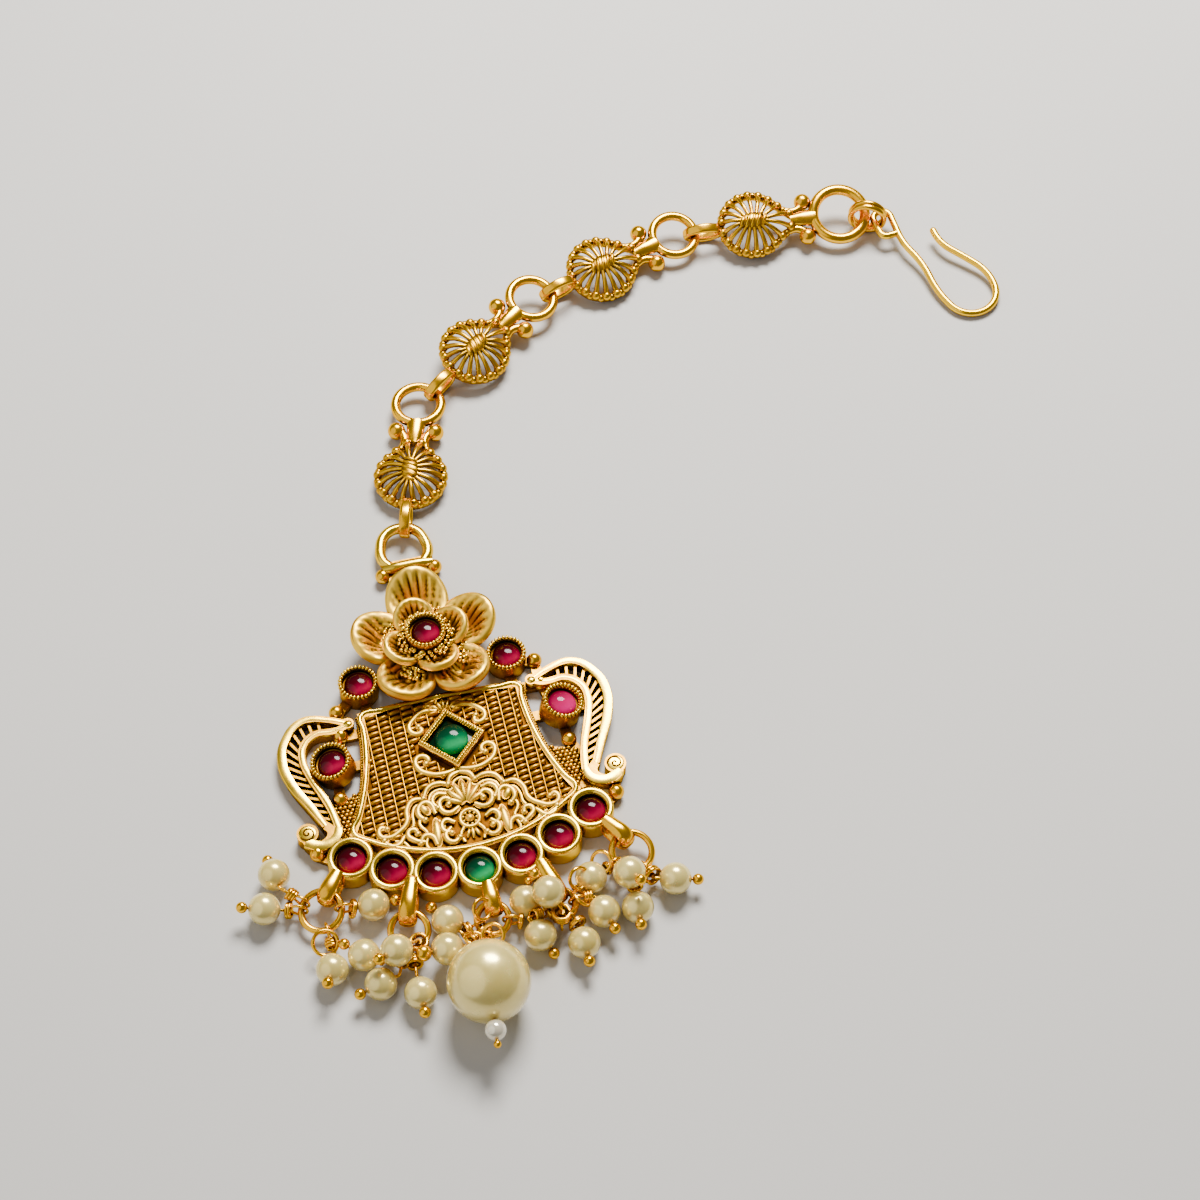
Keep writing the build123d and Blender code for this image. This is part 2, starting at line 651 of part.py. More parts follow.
# ---- Chain -----------------------------------------------------------------------------------
# Each row: compass angle of the link, how far it rolls (left edge up) and pitches (ring end down),
# how far its bail hangs below the dome's level, and the ring at its end.
CHAIN = [
    # azimuth, roll, pitch, bail drop, ring radius, ring wire
    (74.0, 0, 0, 0.0, LINK_RING, LINK_WIRE),
    (37.0, 12, 0, 1.02, LINK_RING, LINK_WIRE),
    (17.5, 14, 0, 0.45, LINK_RING, LINK_WIRE),
    (-4.5, 20, 0, 1.25, END_RING, END_RING_WIRE),
]


def rim_distance(turn):
    """Distance of the dome's teardrop rim from its middle, turn in degrees from the point."""
    flare = degrees(acos(DOME_RADIUS / DOME_TIP))
    away = abs((turn + 180) % 360 - 180)
    if away < flare:
        return DOME_RADIUS / cos(radians(flare - away))
    return DOME_RADIUS


def chain_link(bail_drop, ring_radius, ring_wire):
    """Link along +X: bail round the ring before it, pierced dome, two balls and its own ring."""
    flare = acos(DOME_RADIUS / DOME_TIP)
    side = (DOME_RADIUS * cos(flare), DOME_RADIUS * sin(flare))
    with BuildSketch() as teardrop:
        Circle(DOME_RADIUS)
        Polygon((0, 0), (side[0], -side[1]), (DOME_TIP, 0), side, align=None)
    with BuildPart() as link:
        with BuildSketch(Plane((DOME_X, 0, 0))):
            offset(teardrop.sketch, amount=DOME_WALL / 2)
            offset(teardrop.sketch, amount=-DOME_WALL / 2, mode=Mode.SUBTRACT)
        extrude(amount=DOME_WALL_TOP)
        with BuildSketch(Plane((DOME_X, 0, DOME_HUB_Z))):
            Ellipse(2.0, 1.2)
        extrude(amount=DOME_HUB_TOP - DOME_HUB_Z, taper=18)
        for spoke in range(SPOKES):
            turn = (spoke + 0.5) * 360 / SPOKES
            out = heading(turn)
            rim = Vector(DOME_X, 0, DOME_WALL_TOP + 0.1) + out * rim_distance(turn)
            rod(Vector(DOME_X + 1.5 * out.X, 0.9 * out.Y, DOME_HUB_Z + 0.3), rim, SPOKE_RADIUS)
            with Locations(rim):
                Sphere(RIM_BEAD)
        with Locations(Location((1.6, 0, LINK_BAIL_Z - bail_drop), (0, 0, 180))):
            add(band_loop(5.75, LINK_BAIL_HOLE, LINK_BAIL_WIDTH, LINK_BAIL_WALL))
        ring_start = LINK_PITCH - LINK_RING
        for end in (-1, 1):
            with Locations((ring_start - 1.6, end * END_BALL_SPREAD, END_BALL)):
                Sphere(END_BALL)
        rod(
            Vector(ring_start - 1.6, -END_BALL_SPREAD, END_BALL),
            Vector(ring_start - 1.6, END_BALL_SPREAD, END_BALL),
            0.5,
        )
        with Locations((ring_start - 1.5, 0, LINK_RING_Z)):
            Box(3.0, 2.8, 1.3)
        with Locations((ring_start + ring_radius, 0, LINK_RING_Z)):
            Torus(ring_radius, ring_wire)
    return link.part


joint_x = 0.0
joint_y = TOP_RING_Y - 0.35
for number, (azimuth, roll, pitch, bail_drop, ring_radius, ring_wire) in enumerate(CHAIN, start=1):
    turned = chain_link(bail_drop, ring_radius, ring_wire).moved(
        Location((joint_x, joint_y, 0), (0, 0, azimuth))
        * Location((0, 0, 0), (0, pitch, 0))
        * Location((0, 0, 0), (roll, 0, 0))
    )
    with BuildPart() as link:
        with Locations((0, 0, -turned.bounding_box().min.Z)):
            add(turned)
    link.part.label = f"link_{number}"
    export_step(link.part, f"parts/link_{number}.step")
    joint_x = joint_x + LINK_PITCH * cos(radians(azimuth))
    joint_y = joint_y + LINK_PITCH * sin(radians(azimuth))

# ---- Clasp: double jump ring and hook --------------------------------------------------------
with BuildPart() as hook_link:
    for turn in (-0.5, 0.5):
        with Locations(
            Location((75.9, 71.0, 2.83), (0, 0, -23)) * Location((0, turn * HOOK_LINK_TURN, 0), (90, 0, 0))
        ):
            Torus(HOOK_LINK_RADIUS, HOOK_LINK_WIRE)
hook_link.part.label = "hook_link"
export_step(hook_link.part, "parts/hook_link.step")

# The hook's eye is a bent turn of wire; past it the wire sways into the bight and out to its tip.
# It is drawn flat from the bight's lowest point, then laid down and tipped up towards its eye.
HOOK_EYE = [(80.2, 16.0), (78.05, 15.75), (77.45, 19.95), (80.1, 20.35), (80.46, 15.9)]
HOOK_SWAY = [
    (81.35, 12.6),
    (82.75, 7.6),
    (84.3, 2.35),
    (87.6, 0.4),
    (91.35, 4.3),
    (89.7, 8.7),
    (87.1, 11.6),
    (85.5, 15.3),
]
with BuildPart() as flat_hook:
    with BuildLine() as hook_path:
        course = FilletPolyline(*HOOK_EYE, radius=[0.9, 1.25, 1.25])
        for bend_end in HOOK_SWAY:
            course = TangentArc(course @ 1, bend_end, tangent=course % 1)
    with BuildSketch(Plane(origin=hook_path.line @ 0, z_dir=hook_path.line % 0)):
        Circle(HOOK_WIRE)
    sweep(path=hook_path.wire())
    with Locations(course @ 1):
        Sphere(HOOK_WIRE)
with BuildPart() as hook:
    with Locations(Location((-0.9, 51.65, HOOK_WIRE + 0.02), (HOOK_SLOPE, 0, 0))):
        add(flat_hook.part)
hook.part.label = "hook"
export_step(hook.part, "parts/hook.step")
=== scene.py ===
import logging
import math
import random
from dataclasses import dataclass, field
from enum import Enum

import bpy
from mathutils import Euler, Matrix, Vector


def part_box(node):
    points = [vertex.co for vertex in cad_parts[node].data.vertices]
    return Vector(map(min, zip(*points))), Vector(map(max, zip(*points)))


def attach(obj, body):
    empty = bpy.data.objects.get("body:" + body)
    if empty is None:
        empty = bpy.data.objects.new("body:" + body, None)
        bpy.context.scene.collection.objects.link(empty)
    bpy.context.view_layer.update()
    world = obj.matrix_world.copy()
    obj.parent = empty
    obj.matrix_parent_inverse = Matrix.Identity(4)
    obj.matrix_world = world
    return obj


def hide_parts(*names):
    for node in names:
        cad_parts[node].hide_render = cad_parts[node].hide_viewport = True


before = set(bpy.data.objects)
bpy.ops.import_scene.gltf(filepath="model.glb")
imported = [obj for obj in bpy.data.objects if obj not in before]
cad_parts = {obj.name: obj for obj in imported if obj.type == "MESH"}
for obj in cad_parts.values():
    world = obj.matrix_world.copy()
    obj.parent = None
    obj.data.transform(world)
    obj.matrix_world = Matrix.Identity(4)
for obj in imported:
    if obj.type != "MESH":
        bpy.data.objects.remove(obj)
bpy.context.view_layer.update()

MM = 0.001
LOG = logging.getLogger("tikka")

# Places that several parts of the pendant share: the height of the lower edge's middle, the middle line
# of the vines and the square setting, and the heights of the square setting's and the flower's middles.
RIM_CENTRE_Y = 7.5
RELIEF_X = 0.3
SQUARE_Y = 0.25
FLOWER_Y = 14.5


# ---- Workbench: small moves that every piece shares -----------------------------------------


def bare() -> None:
    """Leaves nothing selected."""
    bpy.ops.object.select_all(action="DESELECT")


def current() -> bpy.types.Object:
    """The object just made."""
    return bpy.context.view_layer.objects.active


def pick(things: list[bpy.types.Object]) -> None:
    """Selects the given objects only, and makes the first one active.

    Args:
        things: the objects to select.
    """
    bare()
    for thing in things:
        thing.select_set(True)
    bpy.context.view_layer.objects.active = things[0]


def fuse(things: list[bpy.types.Object]) -> bpy.types.Object:
    """Joins objects into the first of them.

    Args:
        things: the objects to join.

    Returns:
        The joined object.
    """
    pick(things)
    if len(things) > 1:
        bpy.ops.object.join()
    return current()


def settle(
    thing: bpy.types.Object, name: str, finish: bpy.types.Material, crease: float = 42.0
) -> bpy.types.Object:
    """Finishes a piece: its place goes into its mesh, it gets its metal and rides with the jewel.

    Args:
        thing: the piece, in millimetres.
        name: the piece's name.
        finish: its material.
        crease: edges sharper than this many degrees stay crisp.

    Returns:
        The finished piece, in metres.
    """
    pick([thing])
    bpy.ops.object.transform_apply(location=True, rotation=True, scale=True)
    thing.scale = (MM, MM, MM)
    bpy.ops.object.transform_apply(location=False, rotation=False, scale=True)
    bpy.ops.object.shade_smooth_by_angle(angle=math.radians(crease))
    thing.name = name
    thing.data.name = name
    thing.data.materials.clear()
    thing.data.materials.append(finish)
    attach(thing, "root")
    LOG.info("%s: %d faces", name, len(thing.data.polygons))
    return thing


def ball(
    centre: tuple, radius: float, scale: tuple = (1, 1, 1), turn: tuple = (0, 0, 0), fine: int = 14
) -> bpy.types.Object:
    """Adds a round or stretched ball.

    Args:
        centre: its middle.
        radius: its radius before stretching.
        scale: stretch along its own axes.
        turn: turn in degrees about X, Y and Z.
        fine: faces around it.

    Returns:
        The ball.
    """
    bpy.ops.mesh.primitive_uv_sphere_add(
        segments=fine,
        ring_count=max(6, fine // 2),
        radius=radius,
        location=centre,
        rotation=[math.radians(a) for a in turn],
        scale=scale,
    )
    return current()


def rod(start: Vector, end: Vector, radius: float, sides: int = 12) -> bpy.types.Object:
    """Adds a round rod between two points.

    Args:
        start: one end.
        end: the other end.
        radius: its radius.
        sides: faces around it.

    Returns:
        The rod.
    """
    span = end - start
    bpy.ops.mesh.primitive_cylinder_add(
        vertices=sides,
        radius=radius,
        depth=span.length,
        location=(start + end) / 2,
        rotation=span.to_track_quat("Z", "Y").to_euler(),
    )
    return current()


def ring(
    centre: tuple, radius: float, wire_radius: float, turn: Euler | tuple = (0, 0, 0)
) -> bpy.types.Object:
    """Adds a round ring of wire.

    Args:
        centre: its middle.
        radius: radius of the wire's middle line.
        wire_radius: the wire's radius.
        turn: its turn, as Euler angles in radians.

    Returns:
        The ring.
    """
    bpy.ops.mesh.primitive_torus_add(
        major_radius=radius,
        minor_radius=wire_radius,
        major_segments=64,
        minor_segments=14,
        location=centre,
        rotation=turn,
    )
    return current()


def as_mesh(path: bpy.types.Curve) -> bpy.types.Object:
    """Turns a curve into a mesh object.

    Args:
        path: the curve, with its thickness set.

    Returns:
        The mesh object.
    """
    bent = bpy.data.objects.new(path.name, path)
    bpy.context.collection.objects.link(bent)
    pick([bent])
    bpy.ops.object.convert(target="MESH")
    return current()


def knots(path: bpy.types.Curve, points: list[tuple], closed: bool) -> bpy.types.SplineBezierPoints:
    """Lays a smooth line through points.

    Args:
        path: the curve that gets the line.
        points: the points it passes.
        closed: whether it meets its own start.

    Returns:
        The line's knots.
    """
    line = path.splines.new("BEZIER")
    line.bezier_points.add(len(points) - 1)
    for knot, point in zip(line.bezier_points, points):
        knot.co = point
        knot.handle_left_type = "AUTO"
        knot.handle_right_type = "AUTO"
    line.use_cyclic_u = closed
    return line.bezier_points


def bent_wire(
    points: list[tuple], radius: float, closed: bool = False, taper: list[float] | None = None, steps: int = 6
) -> bpy.types.Object:
    """Bends a round wire smoothly through points.

    Args:
        points: the points it passes.
        radius: its radius.
        closed: whether it meets its own start.
        taper: share of the radius at each point; full everywhere when it isn't given.
        steps: divisions between two points.

    Returns:
        The wire as a mesh.
    """
    path = bpy.data.curves.new("wire", "CURVE")
    path.dimensions = "3D"
    path.twist_mode = "Z_UP"
    path.resolution_u = steps
    path.bevel_depth = radius
    path.bevel_resolution = 3
    path.use_fill_caps = True
    for knot, share in zip(knots(path, points, closed), taper or [1.0] * len(points)):
        knot.radius = share
    return as_mesh(path)


def press(thing: bpy.types.Object, level: float, share: float) -> bpy.types.Object:
    """Makes a piece thinner or thicker about a level, as a roller does with wire.

    Args:
        thing: the piece, its place still in its mesh.
        level: the height that stays.
        share: the new thickness as a share of the old.

    Returns:
        The same piece.
    """
    for point in thing.data.vertices:
        point.co.z = level + (point.co.z - level) * share
    return thing


def planed(thing: bpy.types.Object, level: float, share: float = 0.25) -> bpy.types.Object:
    """Files a piece nearly flat above a level.

    Args:
        thing: the piece, its place still in its mesh.
        level: the height where filing starts.
        share: what is left of the height above it.

    Returns:
        The same piece.
    """
    for point in thing.data.vertices:
        if point.co.z > level:
            point.co.z = level + (point.co.z - level) * share
    return thing


def strew(model: bpy.types.Object, places: list[Matrix]) -> bpy.types.Object:
    """Copies a small model to many places and joins the copies.

    Args:
        model: the model, used up.
        places: one matrix for each copy.

    Returns:
        The joined copies.
    """
    base = model.matrix_basis.copy()
    made = []
    for place in places:
        twin = model.copy()
        twin.data = model.data.copy()
        twin.matrix_basis = place @ base
        bpy.context.collection.objects.link(twin)
        made.append(twin)
    bpy.data.objects.remove(model)
    bpy.context.view_layer.update()
    return fuse(made)


def turned(profile: list[tuple], sides: int = 56) -> bpy.types.Object:
    """Turns a profile about the Z axis on the lathe.

    Args:
        profile: points as (radius, height), from one end to the other.
        sides: steps around.

    Returns:
        The turned piece, round the origin.
    """
    mesh = bpy.data.meshes.new("turned")
    points = [(radius, 0.0, height) for radius, height in profile]
    mesh.from_pydata(points, [(start, start + 1) for start in range(len(points) - 1)], [])
    piece = bpy.data.objects.new("turned", mesh)
    bpy.context.collection.objects.link(piece)
    pick([piece])
    bpy.ops.object.mode_set(mode="EDIT")
    bpy.ops.mesh.select_all(action="SELECT")
    bpy.ops.mesh.spin(steps=sides, angle=math.tau, center=(0, 0, 0), axis=(0, 0, 1))
    bpy.ops.mesh.select_all(action="SELECT")
    bpy.ops.mesh.remove_doubles(threshold=0.004)
    bpy.ops.mesh.normals_make_consistent(inside=False)
    bpy.ops.object.mode_set(mode="OBJECT")
    return piece


def domed(radius: float, girdle: float, crown: float, steps: int) -> list[tuple]:
    """Profile of a dome, from its girdle up to its top.

    Args:
        radius: radius at the girdle.
        girdle: height of the girdle.
        crown: how far the dome rises above it.
        steps: number of points.

    Returns:
        Points as (radius, height).
    """
    profile = []
    for step in range(1, steps + 1):
        turn = math.radians(90 * step / steps)
        profile.append((radius * math.cos(turn), girdle + crown * math.sin(turn)))
    return profile


def thicken(sheet: bpy.types.Object, height: float) -> bpy.types.Object:
    """Gives a sheet its thickness.

    Args:
        sheet: the sheet, in its own place.
        height: how far its second face lies above the first; below it when negative.

    Returns:
        The same piece.
    """
    pick([sheet])
    bpy.ops.object.mode_set(mode="EDIT")
    bpy.ops.mesh.select_all(action="SELECT")
    bpy.ops.mesh.extrude_region_move(TRANSFORM_OT_translate={"value": (0, 0, height)})
    bpy.ops.mesh.select_all(action="SELECT")
    bpy.ops.mesh.normals_make_consistent(inside=False)
    bpy.ops.object.mode_set(mode="OBJECT")
    return sheet


def ease(thing: bpy.types.Object, width: float, segments: int) -> bpy.types.Object:
    """Rounds a piece's sharp edges.

    Args:
        thing: the piece.
        width: width of the rounding.
        segments: how many faces it is made of.

    Returns:
        The same piece.
    """
    pick([thing])
    edge = thing.modifiers.new("edge", "BEVEL")
    edge.width = width
    edge.segments = segments
    bpy.ops.object.modifier_apply(modifier="edge")
    return thing


def paint(thing: bpy.types.Object, name: str, values: list[float]) -> None:
    """Stores a value at every point of a piece for its finish to read.

    Args:
        thing: the piece.
        name: the value's name.
        values: one for each point.
    """
    layer = thing.data.attributes.new(name, "FLOAT", "POINT")
    for cell, value in zip(layer.data, values):
        cell.value = value


def moved(thing: bpy.types.Object, place: Matrix) -> bpy.types.Object:
    """Moves a piece by a matrix and puts the place into its mesh.

    Args:
        thing: the piece.
        place: where it goes.

    Returns:
        The same piece.
    """
    thing.matrix_basis = place @ thing.matrix_basis
    pick([thing])
    bpy.ops.object.transform_apply(location=True, rotation=True, scale=True)
    return thing


def spot(x: float, y: float, z: float, turn: tuple = (0, 0, 0)) -> Matrix:
    """Matrix of a place and a turn in degrees."""
    return Matrix.Translation((x, y, z)) @ Euler([math.radians(a) for a in turn]).to_matrix().to_4x4()


def polar(radius: float, degrees: float) -> tuple[float, float]:
    """Flat place at a distance and an angle, counted from +X."""
    turn = math.radians(degrees)
    return radius * math.cos(turn), radius * math.sin(turn)


def within(edge: list[tuple], x: float, y: float) -> bool:
    """Whether a point lies inside a closed outline.

    Args:
        edge: corners of the outline.
        x: across.
        y: along.

    Returns:
        True inside.
    """
    crossings = 0
    for (ax, ay), (bx, by) in zip(edge, edge[1:] + edge[:1]):
        if (ay > y) != (by > y) and x < ax + (bx - ax) * (y - ay) / (by - ay):
            crossings += 1
    return crossings % 2 == 1


# ---- Finishes -------------------------------------------------------------------------------


class Graph:
    """A material under construction."""

    def __init__(self, name: str) -> None:
        """Starts a material.

        Args:
            name: the material's name.
        """
        self.material = bpy.data.materials.new(name)
        self.material.use_nodes = True
        self.nodes = self.material.node_tree.nodes
        self.shader = self.nodes["Principled BSDF"]

    def add(self, kind: str, **values: object) -> bpy.types.Node:
        """Adds a node and sets its properties.

        Args:
            kind: the node's type.
            values: properties to set.

        Returns:
            The node.
        """
        node = self.nodes.new(kind)
        for key, value in values.items():
            setattr(node, key, value)
        return node

    def join(self, source: bpy.types.NodeSocket, target: bpy.types.NodeSocket) -> None:
        """Links two sockets."""
        self.material.node_tree.links.new(source, target)

    def noise(self, scale: float, detail: float) -> bpy.types.NodeSocket:
        """Noise over the object's own coordinates.

        Args:
            scale: how fine it is, per metre.
            detail: octaves.

        Returns:
            Its factor.
        """
        place = self.add("ShaderNodeTexCoord")
        pattern = self.add("ShaderNodeTexNoise")
        pattern.inputs["Scale"].default_value = scale
        pattern.inputs["Detail"].default_value = detail
        self.join(place.outputs["Object"], pattern.inputs["Vector"])
        return pattern.outputs["Fac"]

    def ramp(self, source: bpy.types.NodeSocket, stops: list[tuple]) -> bpy.types.NodeSocket:
        """Colours a value.

        Args:
            source: the value.
            stops: pairs of position and colour.

        Returns:
            The colour.
        """
        ramp = self.add("ShaderNodeValToRGB")
        while len(ramp.color_ramp.elements) < len(stops):
            ramp.color_ramp.elements.new(0.5)
        for element, (position, colour) in zip(ramp.color_ramp.elements, stops):
            element.position = position
            element.color = (*colour, 1.0)
        self.join(source, ramp.inputs["Fac"])
        return ramp.outputs["Color"]

    def blend(
        self, share: bpy.types.NodeSocket, first: bpy.types.NodeSocket, second: bpy.types.NodeSocket
    ) -> bpy.types.NodeSocket:
        """Mixes two colours.

        Args:
            share: how much of the second.
            first: colour at share 0.
            second: colour at share 1.

        Returns:
            The mixed colour.
        """
        mix = self.add("ShaderNodeMix", data_type="RGBA")
        # inputs 6 and 7 and output 2 are the colour ones; the node names its number ones the same
        self.join(share, mix.inputs["Factor"])
        self.join(first, mix.inputs[6])
        self.join(second, mix.inputs[7])
        return mix.outputs[2]

    def spread(self, source: bpy.types.NodeSocket, low: float, high: float) -> bpy.types.NodeSocket:
        """Maps a noise, which mostly lies between 0.3 and 0.7, to a range.

        Args:
            source: the noise.
            low: what 0.3 becomes.
            high: what 0.7 becomes.

        Returns:
            The mapped value.
        """
        reach = self.add("ShaderNodeMapRange")
        reach.inputs["From Min"].default_value = 0.3
        reach.inputs["From Max"].default_value = 0.7
        reach.inputs["To Min"].default_value = low
        reach.inputs["To Max"].default_value = high
        self.join(source, reach.inputs["Value"])
        return reach.outputs["Result"]

    def bump(self, heights: list[tuple]) -> None:
        """Stacks bumps on the shader.

        Args:
            heights: rows of height value, strength and depth in metres.
        """
        last = None
        for height, strength, depth in heights:
            node = self.add("ShaderNodeBump")
            node.inputs["Strength"].default_value = strength
            node.inputs["Distance"].default_value = depth
            self.join(height, node.inputs["Height"])
            if last is not None:
                self.join(last.outputs["Normal"], node.inputs["Normal"])
            last = node
        self.join(last.outputs["Normal"], self.shader.inputs["Normal"])


@dataclass(frozen=True)
class Gold:
    """A gold finish: its bright and deep colours, which vary at random, the painted shade laid into its
    recesses and grooves, and its surface.
    """

    name: str
    bright: tuple
    deep: tuple
    # colour of the painted shade, an oxidised brown, laid into recesses and vein grooves
    shade_colour: tuple
    roughness: tuple
    # reach of the painted shade in recesses, in millimetres, and its strength
    recess: float = 0.7
    shade_strength: float = 0.75
    dents: float = 0.12

    def make(self) -> bpy.types.Material:
        """Builds the metal.

        Returns:
            The material.
        """
        graph = Graph(self.name)
        clouds = graph.noise(420, 4)
        fine = graph.noise(3600, 3)
        grainy = graph.ramp(fine, [(0.3, self.bright), (0.75, self.deep)])
        cloudy = graph.ramp(clouds, [(0.35, self.bright), (0.7, self.deep)])
        body = graph.blend(clouds, grainy, cloudy)
        # painted shade: ambient occlusion darkens recesses, creases and the gaps between parts towards the
        # shade colour
        shade = graph.add("ShaderNodeAmbientOcclusion", samples=8)
        shade.inputs["Distance"].default_value = self.recess * MM
        recess_shade = graph.ramp(shade.outputs["AO"], [(0.38, (self.shade_strength,) * 3), (0.92, (0, 0, 0))])
        # painted shade in the petals' vein troughs, read from their stored groove value
        groove = graph.add("ShaderNodeAttribute", attribute_name="groove")
        groove_shade = graph.ramp(groove.outputs["Fac"], [(0.0, (0, 0, 0)), (1.0, (1.0, 1.0, 1.0))])
        painted_shade = graph.ramp(fine, [(0.2, self.shade_colour), (0.8, tuple(c * 0.5 for c in self.shade_colour))])
        shaded_body = graph.blend(recess_shade, body, painted_shade)
        graph.join(graph.blend(groove_shade, shaded_body, painted_shade), graph.shader.inputs["Base Color"])
        graph.join(graph.spread(clouds, *self.roughness), graph.shader.inputs["Roughness"])
        graph.shader.inputs["Metallic"].default_value = 1.0
        graph.shader.inputs["Specular Tint"].default_value = (1.0, 0.80, 0.35, 1.0)
        graph.bump([(clouds, self.dents, 0.0004), (fine, self.dents * 0.8, 0.00008)])
        return graph.material


class StoneTone(Enum):
    """The colours of stone: deep, painted shade at its top; body; and glow, painted light near its lower
    edge.
    """

    RUBY = ((0.006, 0.0001, 0.0006), (0.050, 0.0002, 0.004), (0.44, 0.0005, 0.055))
    EMERALD = ((0.0002, 0.004, 0.0015), (0.0003, 0.045, 0.016), (0.0002, 0.46, 0.14))
    ROSE = ((0.10, 0.0003, 0.012), (0.40, 0.0005, 0.075), (0.70, 0.001, 0.19))


@dataclass(frozen=True)
class Stone:
    """Polished cabochon with painted light: a painted glow towards its lower edge and painted shade towards
    its top.
    """

    name: str
    tone: StoneTone

    def make(self) -> bpy.types.Material:
        """Builds the stone.

        Returns:
            The material.
        """
        deep, body, painted_glow = self.tone.value
        graph = Graph(self.name)
        # painted light and shade from the stone's stored glow value: the deep colour is painted shade, the
        # glow colour a painted crescent of light near the lower edge
        place = graph.add("ShaderNodeAttribute", attribute_name="painted_glow")
        silk = graph.noise(900, 3)
        inner = graph.ramp(place.outputs["Fac"], [(0.0, deep), (0.42, body), (0.78, painted_glow), (1.0, body)])
        cloudy = graph.ramp(place.outputs["Fac"], [(0.0, deep), (0.6, body), (1.0, painted_glow)])
        graph.join(graph.blend(silk, inner, cloudy), graph.shader.inputs["Base Color"])
        graph.join(graph.spread(silk, 0.07, 0.13), graph.shader.inputs["Roughness"])
        graph.shader.inputs["IOR"].default_value = 1.5
        graph.shader.inputs["Specular IOR Level"].default_value = 0.12
        graph.shader.inputs["Coat Weight"].default_value = 0.08
        graph.shader.inputs["Coat Roughness"].default_value = 0.03
        graph.bump([(silk, 0.02, 0.0001)])
        return graph.material


@dataclass(frozen=True)
class Pearl:
    """Cream pearl with a soft lustre."""

    name: str
    pale: tuple
    warm: tuple
    roughness: tuple
    lustre: float

    def make(self) -> bpy.types.Material:
        """Builds the pearl.

        Returns:
            The material.
        """
        graph = Graph(self.name)
        drift = graph.noise(160, 2)
        skin = graph.noise(700, 2)
        drifting = graph.ramp(drift, [(0.3, self.pale), (0.75, self.warm)])
        mottled = graph.ramp(skin, [(0.1, self.warm), (0.9, self.pale)])
        graph.join(graph.blend(skin, drifting, mottled), graph.shader.inputs["Base Color"])
        graph.join(graph.spread(skin, *self.roughness), graph.shader.inputs["Roughness"])
        graph.shader.inputs["IOR"].default_value = 1.6
        graph.shader.inputs["Metallic"].default_value = 0.45
        graph.shader.inputs["Subsurface Weight"].default_value = 0.15
        graph.shader.inputs["Subsurface Radius"].default_value = (0.0012, 0.0008, 0.0005)
        graph.shader.inputs["Subsurface Scale"].default_value = 1.0
        graph.shader.inputs["Coat Weight"].default_value = self.lustre
        graph.shader.inputs["Coat Roughness"].default_value = 0.14
        graph.bump([(skin, 0.03, 0.0001)])
        return graph.material


